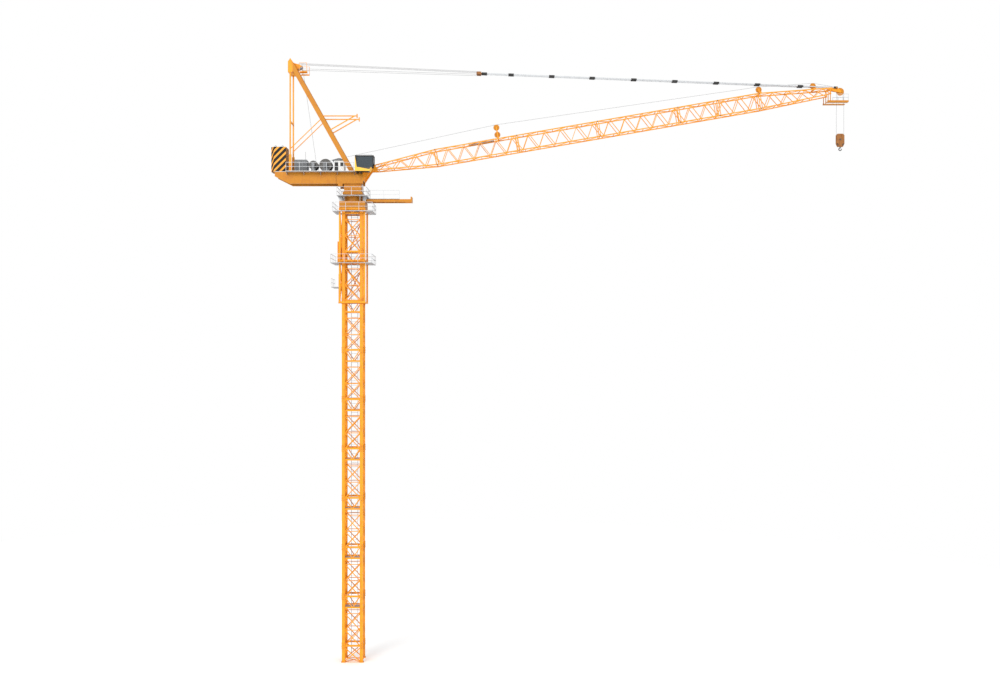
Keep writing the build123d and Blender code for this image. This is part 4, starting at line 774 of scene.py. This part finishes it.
def make_cabinets():
    """Louvres and handles on the cabinets, the machine house's gable roof, window and door, and the
    aerial."""
    _, sizes, _ = settings()
    low, high = node_box("machinery_cabinets")
    near, floor = low[1], low[2]
    slats = floor + np.linspace(0.16, 0.50, sizes.louvres)
    depth, width = 0.03, 0.012  # of a slat
    for door, rear, front in CABINET_DOORS:
        for label, sign in SIDES:
            starts = column(rear, sign * (width / 2 - near), slats)
            ends = starts + (front - rear, 0, 0)
            flat_bars(f"louvres_{door}_{label}", starts, ends, depth, width, "grey", "upper")
    handles = np.array([(x, near - 0.02, floor + 0.56) for x in HANDLES_X])
    round_bars("cabinet_handles", handles, handles + (0, 0, 0.1), 0.008, "black", "upper")
    eaves, rise, half_width, half_length = high[2] - 0.03, 0.125, 0.43, 0.47
    ridge = eaves + rise
    gable = [(HOUSE_X - half_width, eaves), (HOUSE_X + half_width, eaves), (HOUSE_X, ridge)]
    prism("house_gable_roof", gable, -half_length, half_length, "grey", "upper")
    cap = np.array([(HOUSE_X, -half_length - 0.01, ridge)])
    round_bars("house_ridge_cap", cap, cap * (1, -1, 1), 0.012, "zinc", "upper")
    # The window is a black sheet on the wall: painted shade for the room behind its glass.
    window = ((HOUSE_WINDOW_X, HOUSE_WALL, floor + 0.46), 0.09, 0.008, 0.11)
    door = ((HOUSE_DOOR_X, HOUSE_WALL, floor + 0.33), 0.11, 0.008, 0.29)
    boxes("house_window_and_door", [window, door], "black", "upper", "glass")
    pole = np.array([(*AERIAL, high[2] - 0.005)])
    round_bars("aerial", pole, pole + (0, 0, 0.50), 0.006, "black", "upper")


def make_cab_parts():
    """Seat, consoles and levers inside the cab, its low side windows, and a rail over its roof."""
    x, y, z = CAB_SEAT
    arm = 0.17  # from the seat's middle to the console on each side
    seat = ((x, y, z + 0.20), 0.13, 0.12, 0.04)
    back = ((x - 0.14, y, z + 0.42), (0.03, 0, 0.02), 0.12, (-0.02, 0, 0.19))
    consoles = [((x + 0.05, y + side, z + 0.27), 0.10, 0.035, 0.03) for side in (-arm, arm)]
    panel = ((x + 0.42, y, z + 0.22), 0.05, 0.18, 0.13)
    boxes("cab_seat_and_consoles", [seat, back, *consoles, panel], "grey", "upper")
    foot = np.array([CAB_SEAT])
    round_bars("cab_seat_post", foot, foot + (0, 0, 0.17), 0.035, "dark_steel", "upper")
    levers = foot + [(0.11, side, 0.29) for side in (-arm, arm)]
    round_bars("cab_levers", levers, levers + (0.015, 0, 0.11), 0.009, "black", "upper")
    low, high = node_box("cab_frame")
    for (label, _), pane in zip(SIDES, (low[1], CAB_FAR_PANE)):
        prism(f"cab_low_window_{label}", LOW_WINDOW, pane - 0.004, pane + 0.004, "glass", "upper")
    posts = np.array([(x, low[1] + 0.05, high[2]) for x in (low[0] + 0.10, high[0] - 0.12)])
    tops, past = posts + (0, 0, 0.05), (0.01, 0, 0)  # the rail ends a little past its posts
    round_bars("cab_roof_rail_posts", posts, tops, 0.008, "zinc", "upper")
    round_bars("cab_roof_rail", tops[:1] - past, tops[1:] + past, 0.009, "zinc", "upper")


def make_head_railing():
    """Posts and rails along both outer edges and toe boards of the platform at the jib's head."""
    low, high = node_box("jib_head_platform")
    inset, gap = 0.02, 0.62  # posts from the outer edges, and the first posts from the rear edge
    front, rear, side = high[0] - inset, low[0] + gap, high[1] - inset
    edges, height, rises = (-side, side), 0.46, (0.25, 0.455)
    posts = np.array([(x, y, HEAD_DECK) for x in (rear, (rear + front) / 2, front) for y in edges])
    flat_bars("head_railing_posts", posts, posts + (0, 0, height), RAIL, RAIL, "zinc", "jib")
    rails = np.array([(rear, y, HEAD_DECK + rise) for y in edges for rise in rises])
    flat_bars("head_railing_rails", rails, rails + (front - rear, 0, 0), RAIL, RAIL, "zinc", "jib")
    board, thickness = 0.07, 0.008
    edges = (-side - inset / 2, side + inset / 2)
    boards = np.array([(low[0], y, HEAD_DECK + board / 2) for y in edges])
    flat_bars("head_platform_toe_boards", boards, boards + (high[0] - low[0], 0, 0), thickness,
              board, "orange_deep", "jib")


def make_hook_block_parts():
    """Straps, hubs and corner bolts on both cheeks of the hook block, its lower guards, and the
    hook's latch."""
    low, high = node_box("hook_block")
    middle, axle = (low[0] + high[0]) / 2, wheel("hook_sheave")[0][2]
    levels = (low[2] + 0.13, axle, high[2] - 0.10)
    strap, strap_x, margin = 0.012, 0.055, 0.06  # thickness, place, and distance to a cheek's ends
    bolt_x, guard_x, lean = 0.17, 0.13, 0.055  # a guard's top leans outwards from its foot
    body = "hook_block"
    for (label, sign), face in zip(SIDES, (low[1], high[1])):
        y = face + sign * strap / 2
        straps = np.array([(middle + x, y, low[2] + margin) for x in (-strap_x, strap_x)])
        tips = straps + (0, 0, high[2] - low[2] - 2 * margin)
        flat_bars(f"hook_straps_{label}", straps, tips, strap, 0.028, "block", body)
        hub = np.array([(middle, face, axle)])
        round_bars(f"hook_hub_{label}", hub, hub + (0, sign * 0.026, 0), 0.05, "dark_steel", body,
                   sides=20)
        corners = [(middle + x, face, z) for x in (-bolt_x, bolt_x) for z in levels]
        bolts(f"hook_bolts_{label}", corners, (0, sign, 0), 0.014, 0.012, "dark_steel", body)
        y = face + sign * 0.004
        guards = np.array([(middle + x, y, low[2] + 0.07) for x in (-guard_x, guard_x)])
        tips = guards + [(-lean, 0, 0.13), (lean, 0, 0.13)]
        flat_bars(f"hook_guards_{label}", guards, tips, 0.008, 0.06, "black", body)
    hook_low, _ = node_box("hook")
    latch = np.array([(middle - 0.012, 0, hook_low[2] + 0.205)])
    flat_bars("hook_latch", latch, latch + (0.085, 0, -0.055), 0.02, 0.008, "zinc", "hook")


def make_lifting_eyes():
    """Two bent lifting eyes on top of each counterweight slab."""
    low, high = node_box("counterweight_slabs")
    half, foot, paths = 0.05, high[2] - 0.01, []  # the eyes' feet are sunk into the slabs
    rise = np.array([0, 0, half])
    for y in SLAB_MIDDLES:
        for x in (low[0] + 0.27, high[0] - 0.22):
            left, right = np.array([(x - half, y, foot), (x + half, y, foot)])
            bend = arc((left + right) / 2 + rise, left + rise, right + rise, -1, y, steps=12)
            paths.append([left, *bend, right])
    swept("lifting_eyes", paths, 0.01, "dark_steel", "upper")


STAGE_CENTRE = (8, 0, 20)  # what the lamps point at, near the middle of the crane
FLOOR_SIDES = 96


def add_sun(name, place, strength, spread, colour):
    """A sun of a given spread in degrees that points from its place at the middle of the crane."""
    data = bpy.data.lights.new(name, "SUN")
    data.energy = strength
    data.color = colour
    data.angle = math.radians(spread)
    lamp = bpy.data.objects.new(name, data)
    bpy.context.scene.collection.objects.link(lamp)
    away = np.subtract(place, STAGE_CENTRE)
    lamp.location = place
    lamp.rotation_euler = (math.atan2(math.hypot(away[0], away[1]), away[2]), 0,
                           math.atan2(away[1], away[0]) + math.pi / 2)


def make_world(strength):
    """An even pale sky: plain white to the camera, and a soft grey-blue light on the crane."""
    world = bpy.data.worlds.new("pale_sky")
    bpy.context.scene.world = world
    world.use_nodes = True
    tree = world.node_tree
    lit = tree.nodes["Background"]
    set_values(lit, Color=(0.92, 0.945, 0.97, 1), Strength=strength)
    seen = add_node(tree, "ShaderNodeBackground", Color=(1, 1, 1, 1), Strength=1.0)
    path = add_node(tree, "ShaderNodeLightPath")
    mix = add_node(tree, "ShaderNodeMixShader")
    link(tree, path, "Is Camera Ray", mix, "Fac")
    link(tree, lit, "Background", mix, 1)
    link(tree, seen, "Background", mix, 2)
    link(tree, mix, "Shader", tree.nodes["World Output"], "Surface")


def make_floor(radius):
    """A wide round floor under the foot that only shows as a pale ground."""
    turn = np.arange(FLOOR_SIDES) * 2 * math.pi / FLOOR_SIDES
    ring = np.stack([radius * np.cos(turn), radius * np.sin(turn), np.zeros(FLOOR_SIDES)], axis=1)
    mesh = bpy.data.meshes.new("floor")
    mesh.from_pydata(ring.tolist(), [], [list(range(FLOOR_SIDES))])
    floor = bpy.data.objects.new("floor", mesh)
    bpy.context.scene.collection.objects.link(floor)
    material, _, shader = new_material("floor_white")
    set_values(shader, Base_Color=(0.96, 0.95, 0.935, 1), Emission_Color=(1, 1, 1, 1),
               Emission_Strength=0.14, Roughness=0.9, Specular_IOR_Level=0.0)
    mesh.materials.append(material)


def make_camera(place, lens):
    """A level camera that looks along y."""
    data = bpy.data.cameras.new("camera")
    data.lens = lens
    data.sensor_width = 36.0
    data.clip_end = 400.0
    camera = bpy.data.objects.new("camera", data)
    camera.location = place
    camera.rotation_euler = (math.pi / 2, 0, 0)
    bpy.context.scene.collection.objects.link(camera)
    bpy.context.scene.camera = camera


class CRANE_OT_finishes(bpy.types.Operator):
    """Give every solid its paint."""
    bl_idname = "crane.finishes"
    bl_label = "Finishes"
    bl_options = {"REGISTER", "UNDO"}

    def execute(self, context):
        """Make the materials and put them on the nodes."""
        make_materials()
        finish_nodes()
        paint_by_place()
        return {"FINISHED"}


class CRANE_OT_ropes(bpy.types.Operator):
    """Build the ropes that shorten, lengthen and wind."""
    bl_idname = "crane.ropes"
    bl_label = "Ropes"
    bl_options = {"REGISTER", "UNDO"}

    def execute(self, context):
        """Make the luffing and hoist ropes and the windings."""
        make_luffing_ropes()
        make_hoist_ropes()
        make_windings()
        return {"FINISHED"}


class CRANE_OT_ladders(bpy.types.Operator):
    """Build the ladder rungs."""
    bl_idname = "crane.ladders"
    bl_label = "Ladders"
    bl_options = {"REGISTER", "UNDO"}

    def execute(self, context):
        """Make both ladders."""
        make_ladders()
        return {"FINISHED"}


class CRANE_OT_fixings(bpy.types.Operator):
    """Build bolts and pins."""
    bl_idname = "crane.fixings"
    bl_label = "Bolts and pins"
    bl_options = {"REGISTER", "UNDO"}

    def execute(self, context):
        """Make the bolts of the mast and turret and the pins of the jib."""
        make_mast_bolts()
        make_turret_bolts()
        make_jib_pins()
        return {"FINISHED"}


class CRANE_OT_machinery(bpy.types.Operator):
    """Build the cabinets' and the machine house's fittings."""
    bl_idname = "crane.machinery"
    bl_label = "Machinery fittings"
    bl_options = {"REGISTER", "UNDO"}

    def execute(self, context):
        """Make louvres, handles, roof, window, door and aerial."""
        make_cabinets()
        return {"FINISHED"}


class CRANE_OT_cab(bpy.types.Operator):
    """Build what stands in and on the cab."""
    bl_idname = "crane.cab"
    bl_label = "Cab fittings"
    bl_options = {"REGISTER", "UNDO"}

    def execute(self, context):
        """Make the seat, consoles, levers and roof rail."""
        make_cab_parts()
        return {"FINISHED"}


class CRANE_OT_lifting(bpy.types.Operator):
    """Build the fittings of the jib's head, the hook block and the counterweight."""
    bl_idname = "crane.lifting"
    bl_label = "Head, hook and slab fittings"
    bl_options = {"REGISTER", "UNDO"}

    def execute(self, context):
        """Make the head railing, the hook block's parts and the lifting eyes."""
        make_head_railing()
        make_hook_block_parts()
        make_lifting_eyes()
        return {"FINISHED"}


class CRANE_OT_stage(bpy.types.Operator):
    """Set up camera, lamps, sky and floor."""
    bl_idname = "crane.stage"
    bl_label = "Stage"
    bl_options = {"REGISTER", "UNDO"}

    def execute(self, context):
        """Make the stage from its settings."""
        _, _, stage = settings()
        bpy.context.scene.view_settings.view_transform = "Standard"
        make_world(stage.sky_strength)
        make_floor(stage.floor_radius)
        make_camera(stage.camera_place, stage.lens)
        add_sun("key", (-30, -80, 55), stage.sun_strength, 30, (1.0, 0.98, 0.95))
        add_sun("fill", (60, -70, 10), stage.sun_strength * 0.35, 40, (0.92, 0.95, 1.0))
        return {"FINISHED"}


OPERATORS = (CRANE_OT_finishes, CRANE_OT_ropes, CRANE_OT_ladders, CRANE_OT_fixings,
             CRANE_OT_machinery, CRANE_OT_cab, CRANE_OT_lifting, CRANE_OT_stage)


class CRANE_PT_panel(bpy.types.Panel):
    """Panel with every group of settings and every operator."""
    bl_label = "Tower crane"
    bl_space_type = "VIEW_3D"
    bl_region_type = "UI"
    bl_category = "Crane"

    def draw(self, context):
        """Draw the settings, then one button for each operator."""
        for group in settings():
            box = self.layout.box()
            for key in group.bl_rna.properties.keys():
                if key not in ("rna_type", "name"):
                    box.prop(group, key)
        for operator in OPERATORS:
            self.layout.operator(operator.bl_idname)


CLASSES = (CraneColours, CraneSizes, CraneStage) + OPERATORS + (CRANE_PT_panel,)


def register():
    """Register the classes and the settings on the scene."""
    for cls in CLASSES:
        bpy.utils.register_class(cls)
    bpy.types.Scene.crane_colours = bpy.props.PointerProperty(type=CraneColours)
    bpy.types.Scene.crane_sizes = bpy.props.PointerProperty(type=CraneSizes)
    bpy.types.Scene.crane_stage = bpy.props.PointerProperty(type=CraneStage)


def unregister():
    """Take the settings off the scene and unregister the classes."""
    del bpy.types.Scene.crane_stage, bpy.types.Scene.crane_sizes, bpy.types.Scene.crane_colours
    for cls in reversed(CLASSES):
        bpy.utils.unregister_class(cls)


def main():
    """Clear what isn't the frame, then run every operator."""
    for name in ("Cube", "Light", "Camera"):
        if name in bpy.data.objects:
            bpy.data.objects.remove(bpy.data.objects[name])
    register()
    bpy.ops.crane.finishes()
    bpy.ops.crane.ropes()
    bpy.ops.crane.ladders()
    bpy.ops.crane.fixings()
    bpy.ops.crane.machinery()
    bpy.ops.crane.cab()
    bpy.ops.crane.lifting()
    bpy.ops.crane.stage()


if __name__ == "__main__":
    main()
